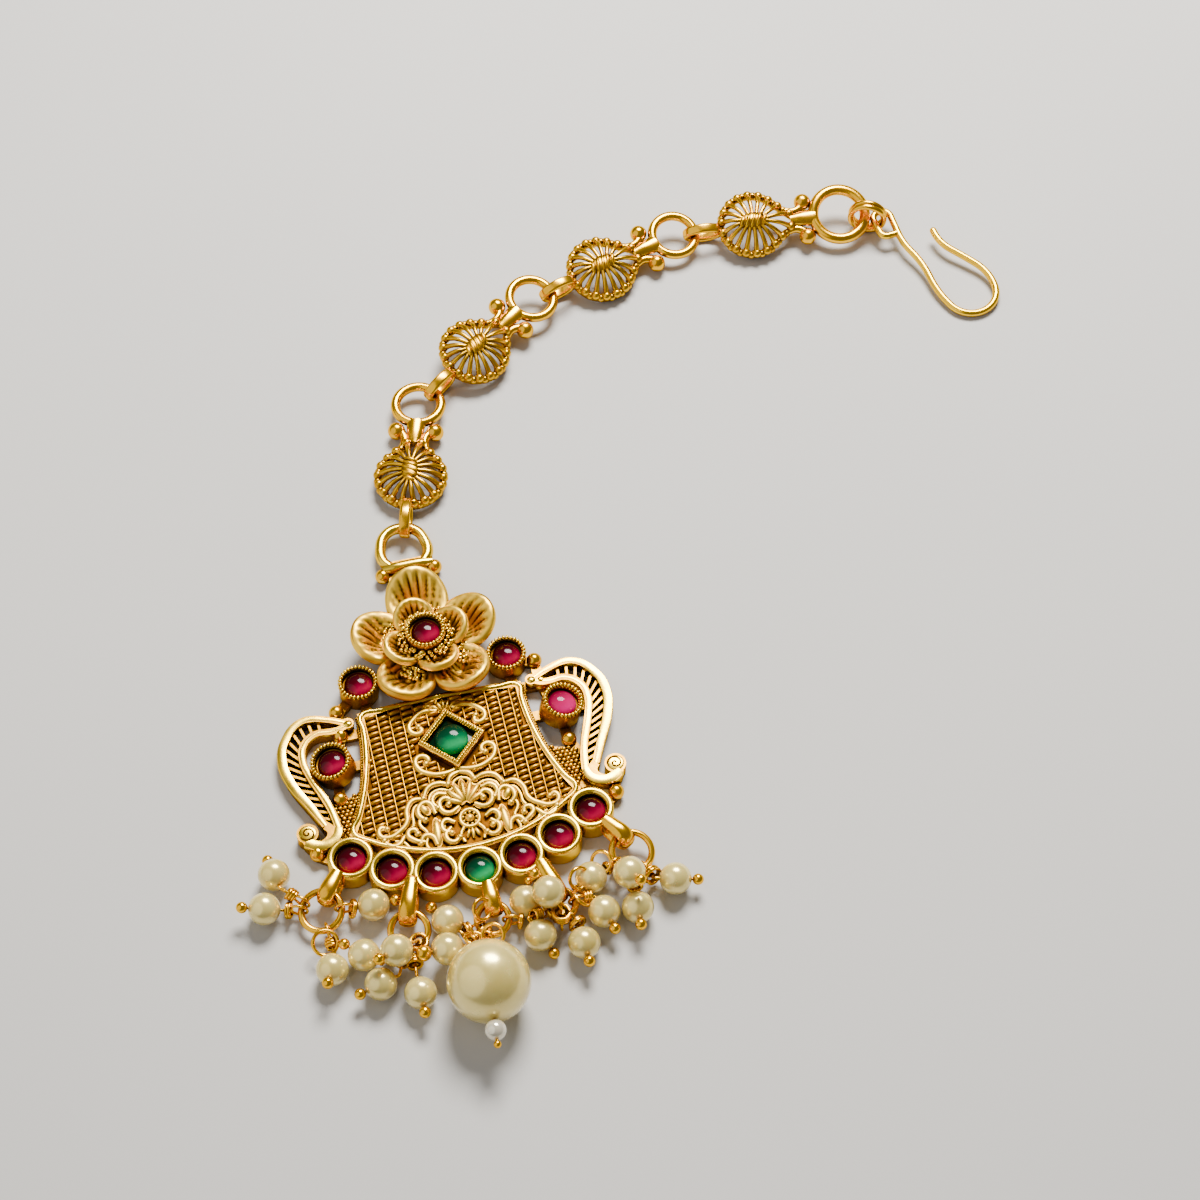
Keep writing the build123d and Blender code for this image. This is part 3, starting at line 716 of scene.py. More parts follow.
@dataclass
class Finishes:
    """All the finishes of the jewel, made once."""

    made: dict[str, bpy.types.Material] = field(default_factory=dict)
    rows: tuple = (
        Gold(
            "antique_gold",
            bright=(0.66, 0.325, 0.007),
            deep=(0.34, 0.132, 0.003),
            shade_colour=(0.038, 0.010, 0.001),
            roughness=(0.28, 0.44),
            recess=1.0,
            shade_strength=0.9,
        ),
        Gold(
            "polished_gold",
            bright=(1.0, 0.70, 0.06),
            deep=(0.98, 0.58, 0.022),
            shade_colour=(0.17, 0.055, 0.003),
            roughness=(0.16, 0.28),
            recess=0.6,
            shade_strength=0.8,
            dents=0.05,
        ),
        Gold(
            "satin_gold",
            bright=(0.94, 0.52, 0.014),
            deep=(0.68, 0.30, 0.005),
            shade_colour=(0.050, 0.014, 0.001),
            roughness=(0.26, 0.40),
            recess=0.75,
            shade_strength=1.0,
            dents=0.1,
        ),
        Gold(
            "petal_gold",
            bright=(1.0, 0.67, 0.07),
            deep=(1.0, 0.57, 0.03),
            shade_colour=(0.060, 0.018, 0.001),
            roughness=(0.33, 0.45),
            recess=0.5,
            shade_strength=0.7,
            dents=0.06,
        ),
        Gold(
            "chain_gold",
            bright=(0.88, 0.50, 0.012),
            deep=(0.52, 0.235, 0.004),
            shade_colour=(0.045, 0.013, 0.001),
            roughness=(0.22, 0.36),
            recess=1.0,
            shade_strength=0.95,
            dents=0.08,
        ),
        Gold(
            "amber_gold",
            bright=(1.0, 0.56, 0.012),
            deep=(0.90, 0.43, 0.007),
            shade_colour=(0.12, 0.035, 0.002),
            roughness=(0.17, 0.29),
            recess=0.8,
            shade_strength=0.8,
            dents=0.05,
        ),
        Gold(
            "wire_gold",
            bright=(1.0, 0.62, 0.014),
            deep=(0.96, 0.54, 0.009),
            shade_colour=(0.20, 0.07, 0.003),
            roughness=(0.16, 0.28),
            recess=0.8,
            shade_strength=0.6,
            dents=0.04,
        ),
        # painted shade of the curls' grooves, laid on as a dark wire
        Gold(
            "groove_shade_gold",
            bright=(0.085, 0.028, 0.001),
            deep=(0.04, 0.012, 0.001),
            shade_colour=(0.016, 0.005, 0.001),
            roughness=(0.46, 0.6),
            recess=0.7,
            shade_strength=0.9,
            dents=0.2,
        ),
        Gold(
            "woven_gold",
            bright=(0.66, 0.33, 0.009),
            deep=(0.42, 0.17, 0.004),
            shade_colour=(0.085, 0.026, 0.001),
            roughness=(0.32, 0.46),
            recess=0.5,
            shade_strength=0.8,
            dents=0.1,
        ),
        # painted shade under the weave and the vines, laid on as a dark sheet
        Gold(
            "ground_shade_gold",
            bright=(0.145, 0.050, 0.001),
            deep=(0.075, 0.024, 0.001),
            shade_colour=(0.03, 0.009, 0.001),
            roughness=(0.44, 0.58),
            recess=0.5,
            shade_strength=0.5,
            dents=0.2,
        ),
        Stone("ruby", StoneTone.RUBY),
        Stone("emerald", StoneTone.EMERALD),
        Stone("rose", StoneTone.ROSE),
        Pearl(
            "pearl_skin",
            pale=(0.95, 0.80, 0.28),
            warm=(0.68, 0.50, 0.09),
            roughness=(0.20, 0.28),
            lustre=1.0,
        ),
        Pearl(
            "white_glaze",
            pale=(0.84, 0.80, 0.66),
            warm=(0.72, 0.64, 0.46),
            roughness=(0.10, 0.16),
            lustre=0.8,
        ),
    )

    def build(self) -> "Finishes":
        """Makes every material.

        Returns:
            Itself.
        """
        for row in self.rows:
            self.made[row.name] = row.make()
        return self

    def __getitem__(self, name: str) -> bpy.types.Material:
        """The finish of that name."""
        return self.made[name]


# ---- Pendant panel --------------------------------------------------------------------------


@dataclass
class Panel:
    """Raised border, woven ground, vines, fans and the square setting of the panel."""

    finishes: Finishes
    ground: float = 1.4
    foot_radius: float = 23.0
    foot_angle: float = 39.5
    # three points of the right side, from the top down
    corner: tuple = (10.6, 6.7)
    waist: tuple = (11.35, -1.6)
    heel: tuple = (14.6, -10.2)
    # how far the top edge bulges, and how far the border wire's middle lies inside the edge
    crown: float = 0.6
    inset: float = 0.37
    weave_pitch: float = 1.56
    row_pitch: float = 0.84
    vine_level: float = 1.78
    vine_radius: float = 0.41
    thread_level: float = 1.66
    thread_radius: float = 0.27
    leaf_level: float = 1.72
    pip_level: float = 1.65
    wire_level: float = 1.76
    wire_radius: float = 0.38
    square_side: float = 6.0
    blossom_y: float = -11.1
    # half diagonals of the field kept free round the square setting
    bare_square: tuple = (4.9, 5.3)
    # middle height and half axes of the field kept free for the vines
    bare_oval: tuple = (-12.2, 8.3, 7.7)
    # x, y and, for pairs that stand askew, how much higher the right one is than their middle
    knob_rows: tuple = (
        (13.1, 8.95, 0.95),
        (13.2, 5.5, 0.95),
        (14.85, -3.5, 0.95),
        (18.9, -11.3, 0.0),
        (3.45, 27.15, 0.0),
    )
    flank: tuple = ((11.2, -3.2), (14.6, -4.0), (16.7, -5.2), (16.0, -8.6), (14.0, -9.8))
    # how much higher the right flank lies than the middle of the two
    flank_lift: float = 0.5
    # first grain and the steps across and down
    grain_start: tuple = (10.6, -2.6)
    grain_pitch: tuple = (0.6, 0.52)
    # each vine, thread, fan and pip is drawn on the right and mirrored
    vines: tuple = (
        ((1.0, 4.9), (2.7, 5.1), (4.2, 4.2), (4.9, 3.1), (4.2, 2.1), (3.4, 2.4), (3.7, 3.1)),
        (
            (0.0, -3.9), (1.9, -4.3), (3.7, -3.9), (4.9, -2.8), (4.9, -1.5), (3.9, -1.25), (3.4, -1.95),
            (3.8, -2.4),
        ),
        ((0.0, -4.4), (1.2, -4.9), (1.7, -5.9)),
        ((1.7, -5.9), (2.8, -5.5), (4.2, -5.8), (5.1, -7.2)),
        (
            (5.1, -7.2), (6.5, -7.2), (7.4, -8.3), (7.7, -10.0), (8.9, -11.1), (10.2, -11.6), (11.3, -11.1),
            (11.0, -10.1), (10.3, -10.4),
        ),
        ((1.0, -9.3), (2.4, -9.9), (3.3, -9.0), (3.0, -7.9), (2.0, -8.0), (2.2, -8.7)),
        ((4.0, -9.6), (4.6, -7.9), (5.6, -8.0), (6.1, -9.3), (5.4, -10.2)),
        ((1.9, -11.3), (3.1, -10.8), (3.6, -11.9), (2.6, -12.7)),
        ((6.0, -13.2), (7.2, -12.7), (7.9, -11.6), (7.0, -11.2), (6.7, -11.9)),
        ((2.2, -7.2), (3.4, -7.0), (4.1, -7.9), (3.6, -8.9)),
        ((2.5, -11.9), (3.4, -13.0), (2.6, -14.0), (1.7, -13.5)),
        ((4.6, -13.9), (5.0, -12.6), (6.0, -12.4), (6.6, -13.3)),
        ((8.4, -11.9), (9.4, -12.9), (10.4, -12.7), (10.9, -11.9)),
    )
    threads: tuple = (
        (
            (0.0, -5.2), (0.9, -5.6), (1.5, -6.7), (2.8, -6.35), (4.0, -6.7), (4.8, -7.95), (6.2, -7.95),
            (6.8, -9.0), (7.0, -10.5), (8.5, -11.9),
        ),
        ((2.9, -14.2), (3.7, -13.0), (3.3, -11.6), (3.8, -10.6)),
        ((5.1, -14.6), (5.9, -13.8), (5.5, -12.0), (6.2, -10.6), (5.9, -9.6)),
        ((8.0, -13.6), (8.6, -12.6), (9.6, -12.2)),
        ((0.9, -12.1), (1.5, -13.1), (1.2, -14.2)),
        ((1.0, 5.6), (2.4, 5.9), (3.8, 5.6)),
    )
    # x, y, length, width and the direction that each leaf points in
    fans: tuple = (
        (0.0, -7.1, 3.4, 0.85, 90),
        (0.65, -7.3, 3.3, 0.8, 70),
        (1.2, -7.7, 3.1, 0.8, 49),
        (1.5, -8.35, 2.8, 0.75, 27),
        (0.0, 5.6, 1.7, 0.45, 90),
        (0.55, 5.5, 1.7, 0.45, 66),
        (1.15, 5.35, 1.7, 0.45, 42),
        (1.7, 5.0, 1.6, 0.45, 22),
        (4.3, -12.2, 4.2, 1.1, 94),
        (5.3, -8.7, 1.8, 1.0, 60),
    )
    # x, y and radius
    pips: tuple = (
        (2.6, -6.5, 0.3), (3.6, -7.3, 0.26), (7.0, -10.6, 0.3), (1.9, -6.9, 0.22), (6.0, -11.0, 0.26),
        (9.0, -12.6, 0.28),
    )

    @staticmethod
    def arc_through(a: tuple, b: tuple, c: tuple) -> tuple[tuple, float]:
        """Circle through three points.

        Args:
            a: first point.
            b: second point.
            c: third point.

        Returns:
            Its middle and its radius.
        """
        d = 2 * (a[0] * (b[1] - c[1]) + b[0] * (c[1] - a[1]) + c[0] * (a[1] - b[1]))
        squares = [p[0] ** 2 + p[1] ** 2 for p in (a, b, c)]
        x = (squares[0] * (b[1] - c[1]) + squares[1] * (c[1] - a[1]) + squares[2] * (a[1] - b[1])) / d
        y = (squares[0] * (c[0] - b[0]) + squares[1] * (a[0] - c[0]) + squares[2] * (b[0] - a[0])) / d
        return (x, y), math.dist((x, y), a)

    @staticmethod
    def hollow(arc: tuple, y: float) -> float:
        """Where a side that curves inwards passes a height.

        Args:
            arc: the side's middle and radius.
            y: the height, along the pendant.

        Returns:
            How far out it passes.
        """
        (x, middle), radius = arc
        return x - math.sqrt(radius**2 - (y - middle) ** 2)

    @property
    def side_arc(self) -> tuple[tuple, float]:
        """Middle and radius of the panel's right side."""
        return self.arc_through(self.heel, self.waist, self.corner)

    def dress(self, thing: bpy.types.Object, name: str, finish: str, crease: float = 42.0) -> None:
        """Settles a piece of the panel."""
        settle(thing, name, self.finishes[finish], crease)

    def outline(self) -> list[tuple]:
        """Middle line of the border, counter-clockwise from the lower right.

        Returns:
            Points round the panel.
        """
        angle = math.radians(self.foot_angle)
        radius = self.foot_radius - self.inset
        foot = (radius * math.sin(angle) - self.inset * 0.8, RIM_CENTRE_Y - radius * math.cos(angle) + 0.1)
        corner = (self.corner[0] - self.inset, self.corner[1] - self.inset)
        side = self.arc_through(foot, (self.waist[0] - self.inset, self.waist[1]), corner)
        right = [foot]
        for step in range(1, 9):
            y = foot[1] + (corner[1] - foot[1]) * step / 8
            right.append((self.hollow(side, y), y))
        top = []
        for x in (7.5, 4.0, 0.0, -4.0, -7.5):
            top.append((x, corner[1] + self.crown * (1 - (x / self.corner[0]) ** 2)))
        left = [(-x, y) for x, y in reversed(right)]
        low = []
        for step in range(1, 12):
            turn = -angle + 2 * angle * step / 12
            low.append((radius * math.sin(turn), RIM_CENTRE_Y - radius * math.cos(turn)))
        return right + top + left + low

    def inside(self, x: float, y: float, margin: float) -> bool:
        """Whether a point lies on the woven ground.

        Args:
            x: across.
            y: along.
            margin: distance kept from the border.

        Returns:
            True where a thread may lie.
        """
        arc = self.side_arc
        (_, middle), radius = arc
        if abs(y - middle) > radius:
            return False
        side = self.hollow(arc, y)
        top = self.corner[1] + self.crown * (1 - (x / self.corner[0]) ** 2)
        foot = RIM_CENTRE_Y - math.sqrt(self.foot_radius**2 - x**2)
        if abs(x) > side - margin or y > top - margin or y < foot + margin:
            return False
        away = x - RELIEF_X
        if abs(away) / self.bare_square[0] + abs(y - SQUARE_Y) / self.bare_square[1] < 1:
            return False
        oval_y, half_width, half_height = self.bare_oval
        return (away / half_width) ** 2 + ((y - oval_y) / half_height) ** 2 > 1

    def upright_runs(self, x: float) -> list[tuple]:
        """Stretches of one upright that lie on the woven ground.

        Args:
            x: where the upright stands.

        Returns:
            Rows of x, upper end and lower end.
        """
        found = []
        run = []
        for row in range(60):
            y = 6.9 - row * 0.31
            if self.inside(x, y, 0.75):
                run.append(y)
            elif run:
                found.append((x, run[0], run[-1]))
                run = []
        if run:
            found.append((x, run[0], run[-1]))
        return found

    def thread_places(self, column: int) -> list[tuple]:
        """Threads of one column of the weave, every second column half a row lower.

        Args:
            column: the column, 0 in the middle.

        Returns:
            Rows of x, y and share of the full length.
        """
        middle = RELIEF_X + column * self.weave_pitch
        drop = self.row_pitch / 2 if column % 2 else 0.0
        found = []
        for row in range(25):
            y = 6.75 - row * self.row_pitch - drop
            across = [middle + share * self.weave_pitch for share in (-0.42, -0.14, 0.14, 0.42)]
            free = [self.inside(x, y, 0.7) for x in across]
            if all(free):
                found.append((middle, y, 1.0))
            elif sum(free) >= 2:
                shift = 0.25 * self.weave_pitch * (1 if free[-1] else -1)
                found.append((middle + shift, y, 0.5))
        return found

    def weave(self) -> None:
        """Basket work: upright wires with short threads between them."""
        bead = ball((0, 0, 0), 1.0, fine=12)
        for point in bead.data.vertices:
            x, y, z = point.co
            swell = math.copysign(abs(x) ** 0.6, x) * 0.86
            point.co = (swell, y * 0.39 + 0.09 * math.sin(x * 3.0), z * 0.5 + 0.06)
        places = []
        wires = []
        level = self.ground + 0.34
        for column in range(-8, 9):
            middle = RELIEF_X + column * self.weave_pitch
            for x, high, low in self.upright_runs(middle - self.weave_pitch / 2):
                if high - low > 0.6:
                    wires.append(((x, high + 0.2, level), (x, low - 0.2, level)))
            for x, y, share in self.thread_places(column):
                place = Matrix.Translation((x, y, self.ground + 0.12))
                places.append(place @ Matrix.Diagonal((share, 1, 1, 1)))
        self.dress(strew(bead, places), "woven_threads", "woven_gold", 60)
        rods = [rod(Vector(high), Vector(low), 0.14, 8) for high, low in wires]
        self.dress(fuse(rods), "woven_uprights", "antique_gold", 60)

    def ground_sheet(self) -> None:
        """Dark sheet under the weave and the vines, painted shade between and under them."""
        line = self.outline()
        bpy.ops.mesh.primitive_circle_add(vertices=len(line), radius=10, fill_type="NGON", location=(0, 0, 0))
        sheet = current()
        for point, (x, y) in zip(sheet.data.vertices, line):
            point.co = (x, y, self.ground - 0.01)
        self.dress(thicken(sheet, 0.06), "panel_ground_shade", "ground_shade_gold")

    def flanks(self) -> None:
        """Small grains packed on the plates between panel and wings, and the round knobs."""
        rng = random.Random(5)
        (first_x, first_y), (across, down) = self.grain_start, self.grain_pitch
        places = []
        for side in (-1, 1):
            lift = side * self.flank_lift
            edge = [(side * x, y + lift) for x, y in self.flank]
            for row in range(16):
                shift = across / 2 if row % 2 else 0.0
                for step in range(14):
                    x = side * (first_x + step * across + shift) + rng.uniform(-0.06, 0.06)
                    y = first_y - row * down + lift + rng.uniform(-0.06, 0.06)
                    if within(edge, x, y):
                        size = rng.uniform(0.85, 1.15)
                        grain = Matrix.Diagonal((size, size, size, 1))
                        places.append(Matrix.Translation((x, y, 0.86)) @ grain)
        self.dress(strew(ball((0, 0, 0), 0.34, fine=8), places), "flank_grains", "satin_gold")
        knobs = []
        for side in (-1, 1):
            for x, y, rise in self.knob_rows:
                knobs.append(ball((side * x, y + side * rise, 0.98), 1.0, fine=28))
        self.dress(fuse(knobs), "granules", "amber_gold")

    def border(self) -> None:
        """Border wire and the row of grains outside it."""
        line = [(x, y, self.wire_level) for x, y in self.outline()]
        wire = bent_wire(line, self.wire_radius, closed=True, steps=5)
        self.dress(press(wire, 1.72, 1.05), "panel_border", "polished_gold")
        grains = []
        for side in (-1, 1):
            for step in range(44):
                y = self.corner[1] - 0.3 - step / 43 * 16.2
                x = self.hollow(self.side_arc, y) + 0.22
                grains.append(Matrix.Translation((side * x, y, 1.3)))
        self.dress(strew(ball((0, 0, 0), 0.22, fine=8), grains), "panel_grains", "satin_gold")

    def relief(self) -> None:
        """Vines with their knobs, threads, fans and pips, the same on both sides."""
        parts = []
        for side in (-1, 1):
            for vine in self.vines:
                points = [(RELIEF_X + side * x, y, self.vine_level) for x, y in vine]
                taper = [0.75] + [1.0] * (len(points) - 2) + [0.8]
                parts.append(bent_wire(points, self.vine_radius, taper=taper, steps=5))
                parts.append(ball(points[-1], 0.48, fine=10))
            for thread in self.threads:
                points = [(RELIEF_X + side * x, y, self.thread_level) for x, y in thread]
                parts.append(bent_wire(points, self.thread_radius, steps=5))
            for x, y, length, width, turn in self.fans:
                leaf = (length, width * 1.12, 1.0)
                angle = 90 + side * (turn - 90)
                parts.append(ball((RELIEF_X + side * x, y, self.leaf_level), 0.5, leaf, (0, 0, angle), 12))
            for x, y, size in self.pips:
                parts.append(ball((RELIEF_X + side * x, y, self.pip_level), size, fine=8))
        self.dress(fuse(parts), "panel_vines", "petal_gold", 60)

    def blossom(self) -> None:
        """The little round flower among the vines, its ring of seeds and its three lower leaves."""
        middle = (RELIEF_X, self.blossom_y, 1.75)
        parts = [ring(middle, 1.2, 0.27), ball(middle, 0.55, (1, 1, 0.9), fine=14)]
        for step in range(9):
            x, y = polar(0.86, 360 * step / 9)
            parts.append(ball((RELIEF_X + x, self.blossom_y + y, 1.7), 0.24, fine=8))
        for shift, length in ((-0.55, 1.5), (0.0, 1.9), (0.55, 1.5)):
            foot = (RELIEF_X + shift, self.blossom_y - 2.0, self.pip_level)
            parts.append(ball(foot, 0.5, (0.55, length, 0.7), (0, 0, shift * 40), 10))
        self.dress(fuse(parts), "panel_blossom", "petal_gold", 60)

    def setting(self) -> None:
        """Square collar of the centre stone, with a grained edge."""
        bpy.ops.mesh.primitive_plane_add(size=self.square_side + 0.1, location=(0, 0, 1.42))
        collar = current()
        bpy.ops.object.mode_set(mode="EDIT")
        bpy.ops.mesh.select_all(action="SELECT")
        bpy.ops.mesh.inset(thickness=0.72, depth=0)
        bpy.ops.mesh.delete(type="FACE")
        bpy.ops.object.mode_set(mode="OBJECT")
        ease(thicken(collar, 1.34), 0.2, 3)
        place = spot(RELIEF_X, SQUARE_Y, 0, (0, 0, 45))
        self.dress(moved(collar, place), "square_collar", "polished_gold")
        grains = []
        inner = self.square_side / 2 - 0.36
        for step in range(14):
            along = -inner + 2 * inner * step / 14
            for x, y in ((along, inner), (-along, -inner), (inner, -along), (-inner, along)):
                grains.append(place @ Matrix.Translation((x, y, 2.72)))
        self.dress(strew(ball((0, 0, 0), 0.27, fine=10), grains), "square_grains", "polished_gold")

    def build(self) -> None:
        """Builds the panel's pieces."""
        self.border()
        self.ground_sheet()
        self.flanks()
        self.weave()
        self.relief()
        self.blossom()
        self.setting()


# ---- Stone settings -------------------------------------------------------------------------


@dataclass
class Settings:
    """Turned rims and grained collars of the round stones, and the stones themselves."""

    finishes: Finishes
    rim_count: int = 7
    rim_radius: float = 25.92
    pitch: float = 11.87
    stone_radius: float = 1.83
    seat_depth: float = 1.47
    top_place: tuple = (9.67, 10.85)
    # middle of the side cups; the right one is higher by the lift and the left one lower
    side_place: tuple = (14.6, 0.9, 0.7)
    side_lift: float = 0.95
    side_tilt: float = 12
    flower_level: float = 3.3
    bore: float = 1.98
    girdle: float = 0.7
    centre_radius: float = 2.12
    centre_girdle: float = 2.1
    # radius and height up the outside of a rim cup, over its lip and down into it
    rim_profile: tuple = (
        (2.9, 0.02), (2.9, 2.2), (2.89, 2.5), (2.84, 2.7), (2.73, 2.82), (2.55, 2.87), (2.35, 2.86),
        (2.18, 2.8), (2.07, 2.68), (2.01, 2.5), (1.98, 2.25), (1.93, 2.1), (1.88, 2.0), (1.87, 1.7),
    )

    def stone(self, node: str, place: Matrix, tone: str, crown: float) -> None:
        """Cuts a cabochon that stands for the frame's stone.

        Args:
            node: the frame's node, and the start of the piece's name.
            place: middle of its seat.
            tone: its finish.
            crown: height of its dome.
        """
        radius, girdle = self.stone_radius, self.girdle
        profile = [(0.0, 0.02), (radius * 0.97, 0.02), (radius, 0.1), (radius, girdle)]
        gem = turned(profile + domed(radius, girdle, crown, 12), 48)
        # glow value: painted light rising towards the stone's lower edge and a little to the right, painted
        # shade towards its top
        lit = []
        for point in gem.data.vertices:
            lean = (point.co.x * 0.35 - point.co.y) / radius
            lit.append(min(1.0, max(0.0, 0.42 + 0.52 * lean)))
        paint(gem, "painted_glow", lit)
        settle(moved(gem, place), node + "_gem", self.finishes[tone], 60)
        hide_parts(node)

    def rim(self) -> None:
        """Seven plain turned cups along the lower edge; the fourth stone is green."""
        model = turned(self.rim_profile)
        cups = []
        middle = self.rim_count // 2
        for number in range(self.rim_count):
            angle = math.radians((number - middle) * self.pitch)
            x = self.rim_radius * math.sin(angle)
            y = RIM_CENTRE_Y - self.rim_radius * math.cos(angle)
            cups.append(Matrix.Translation((x, y, 0)))
            tone = "emerald" if number == middle else "ruby"
            self.stone(f"stone_rim_{number + 1}", Matrix.Translation((x, y, 1.13)), tone, 1.15)
        settle(strew(model, cups), "rim_cups", self.finishes["polished_gold"])

    def grained(
        self, name: str, node: str, place: Matrix, outer: float, height: float, count: int, tone: str = "ruby"
    ) -> None:
        """A cup with a ring of grains on its rim, and its stone.

        Args:
            name: the cup's name.
            node: the frame's stone node.
            place: middle of the cup's foot.
            outer: outer radius.
            height: its height.
            count: number of grains.
            tone: the stone's finish.
        """
        inner = self.bore
        outside = [
            (outer + 0.03, 0.02),
            (outer + 0.03, height - 0.35),
            (outer - 0.02, height - 0.1),
            (outer - 0.2, height + 0.02),
        ]
        inside = [
            (inner + 0.06, height - 0.04),
            (inner, height - 0.2),
            (inner - 0.02, height - 0.62),
            (inner - 0.14, height - 0.66),
            (inner - 0.12, height - 0.72),
            (inner - 0.12, height - 1.0),
        ]
        cup = moved(turned(outside + inside), place)
        settle(cup, name, self.finishes["antique_gold"])
        grains = []
        radius = (outer + inner) / 2 + 0.06
        for step in range(count):
            angle = 360 * step / count
            x, y = polar(radius, angle)
            grains.append(place @ spot(x, y, height + 0.06, (0, 0, angle)))
        milled = strew(ball((0, 0, 0), 0.3, (1.15, 0.8, 1.1), fine=10), grains)
        settle(milled, name + "_grains", self.finishes["polished_gold"])
        self.stone(node, place @ Matrix.Translation((0, 0, height - self.seat_depth)), tone, 1.1)

    def centre_stone(self) -> None:
        """Green stone on a square foot."""
        bpy.ops.mesh.primitive_cube_add(size=1, location=(0, 0, 1.72), scale=(4.55, 4.55, 0.5))
        foot = current()
        bpy.ops.object.transform_apply(location=True, rotation=True, scale=True)
        ease(foot, 0.3, 2)
        radius, girdle = self.centre_radius, self.centre_girdle
        dome = turned([(radius, 1.7), (radius, girdle)] + domed(radius, girdle, 1.25, 14))
        gem = moved(fuse([dome, foot]), spot(RELIEF_X, SQUARE_Y, 0, (0, 0, 45)))
        # glow value: painted light towards the lower edge, painted shade towards the top, and the dark deep
        # end on the square foot
        lit = []
        for point in gem.data.vertices:
            away = Vector((point.co.x - RELIEF_X, point.co.y - SQUARE_Y))
            lean = (away.x * 0.2 - away.y) / radius
            on_foot = away.length > radius + 0.08 or point.co.z < girdle - 0.11
            lit.append(0.06 if on_foot else min(1.0, max(0.0, 0.45 + 0.5 * lean)))
        paint(gem, "painted_glow", lit)
        settle(gem, "stone_centre_gem", self.finishes["emerald"], 50)
        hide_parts("stone_centre")

    def build(self) -> None:
        """Builds all the round settings and the centre stone."""
        self.rim()
        x, y, level = self.side_place
        for side, word in ((-1, "left"), (1, "right")):
            place = Matrix.Translation((side * self.top_place[0], self.top_place[1], 0))
            self.grained(f"top_cup_{word}", f"stone_top_{word}", place, 2.47, 2.62, 29)
            place = spot(side * x, y + side * self.side_lift, level, (0, side * self.side_tilt, 0))
            tone = "rose" if side > 0 else "ruby"
            self.grained(f"side_cup_{word}", f"stone_side_{word}", place, 2.6, 2.62, 30, tone)
        place = Matrix.Translation((0, FLOWER_Y, self.flower_level))
        self.grained("flower_cup", "stone_flower", place, 2.55, 2.84, 30)
        self.centre_stone()


# ---- Wings ----------------------------------------------------------------------------------


@dataclass
class Wings:
    """Polished rails on both flanks, each wing with its solid curl."""

    finishes: Finishes
    # the right wing is higher by the lift and the left one lower
    lift: float = 0.5
    level: float = 1.55
    # heights where rails and curl are filed, and the height of the dark wire painted as the groove's shade
    filed_rail: float = 1.88
    filed_curl: float = 1.92
    groove: float = 1.99
    outer: tuple = (
        (12.0, 6.2), (14.4, 7.3), (17.7, 7.8), (20.3, 5.3),
        (21.0, 2.7), (20.6, -0.2), (18.4, -5.1), (17.3, -7.6),
    )
    inner: tuple = (
        (12.4, 5.9), (14.3, 5.5), (16.2, 5.6), (18.1, 4.1),
        (18.5, 2.3), (18.0, -0.3), (16.4, -4.9), (15.8, -8.2),
    )
    foot: tuple = ((15.8, -8.2), (16.2, -9.3), (17.3, -10.1), (18.7, -10.1), (20.0, -9.3))
    # middle (x, y), radius and level
    curl: tuple = (19.65, -8.2, 1.35, 1.35)
    # middle (x, y, z) and radius
    knob: tuple = (12.0, 6.1, 1.5, 0.72)

    @property
    def rails(self) -> tuple:
        """The three rails of a wing.

        Returns:
            Rows of line, half width and taper.
        """
        return (
            (self.outer, 0.6, (0.75, 0.85, 0.95, 1.05, 1.1, 1.1, 0.95, 0.8)),
            (self.inner, 0.53, (0.85, 0.85, 0.85, 0.9, 1.0, 1.0, 1.0, 1.0)),
            (self.foot, 0.66, (0.9, 1.0, 1.1, 1.15, 1.1)),
        )

    def metal(self, side: int) -> bpy.types.Object:
        """Rails and curl, filed nearly flat on top, and the knob where the rails meet.

        Args:
            side: 1 for the right, -1 for the left.

        Returns:
            The wing in one piece.
        """
        parts = []
        for line, width, taper in self.rails:
            points = [(side * x, y + side * self.lift, self.level) for x, y in line]
            rail = bent_wire(points, width, taper=list(taper), steps=9)
            parts.append(planed(rail, self.filed_rail))
        x, y, size, level = self.curl
        disc = ball((0, 0, 0), size, (1, 1, 0.75), fine=36)
        place = Matrix.Translation((side * x, y + side * self.lift, level))
        parts.append(planed(moved(disc, place), self.filed_curl, 0.2))
        x, y, level, size = self.knob
        parts.append(ball((side * x, y + side * self.lift, level), size, (1.1, 1, 0.8), fine=16))
        return fuse(parts)

    def spiral(self, side: int) -> bpy.types.Object:
        """Dark wire on the curl, painted shade of the groove that winds into it.

        Args:
            side: 1 for the right, -1 for the left.

        Returns:
            The wire of painted shade.
        """
        middle_x, middle_y = side * self.curl[0], self.curl[1] + side * self.lift
        points = []
        for step in range(19):
            x, y = polar(1.02 - step * 0.052, 200 - side * step * 30)
            points.append((middle_x + x, middle_y + y, self.groove))
        return bent_wire(points, 0.11, taper=[0.4] + [1.0] * 17 + [1.2], steps=4)

    def build(self) -> None:
        """Builds both wings."""
        for side, word in ((-1, "left"), (1, "right")):
            settle(self.metal(side), f"wing_{word}", self.finishes["polished_gold"])
            # the curl's groove is a dark wire of painted shade
            settle(self.spiral(side), f"wing_curl_groove_shade_{word}", self.finishes["groove_shade_gold"])


# ---- Flower ---------------------------------------------------------------------------------


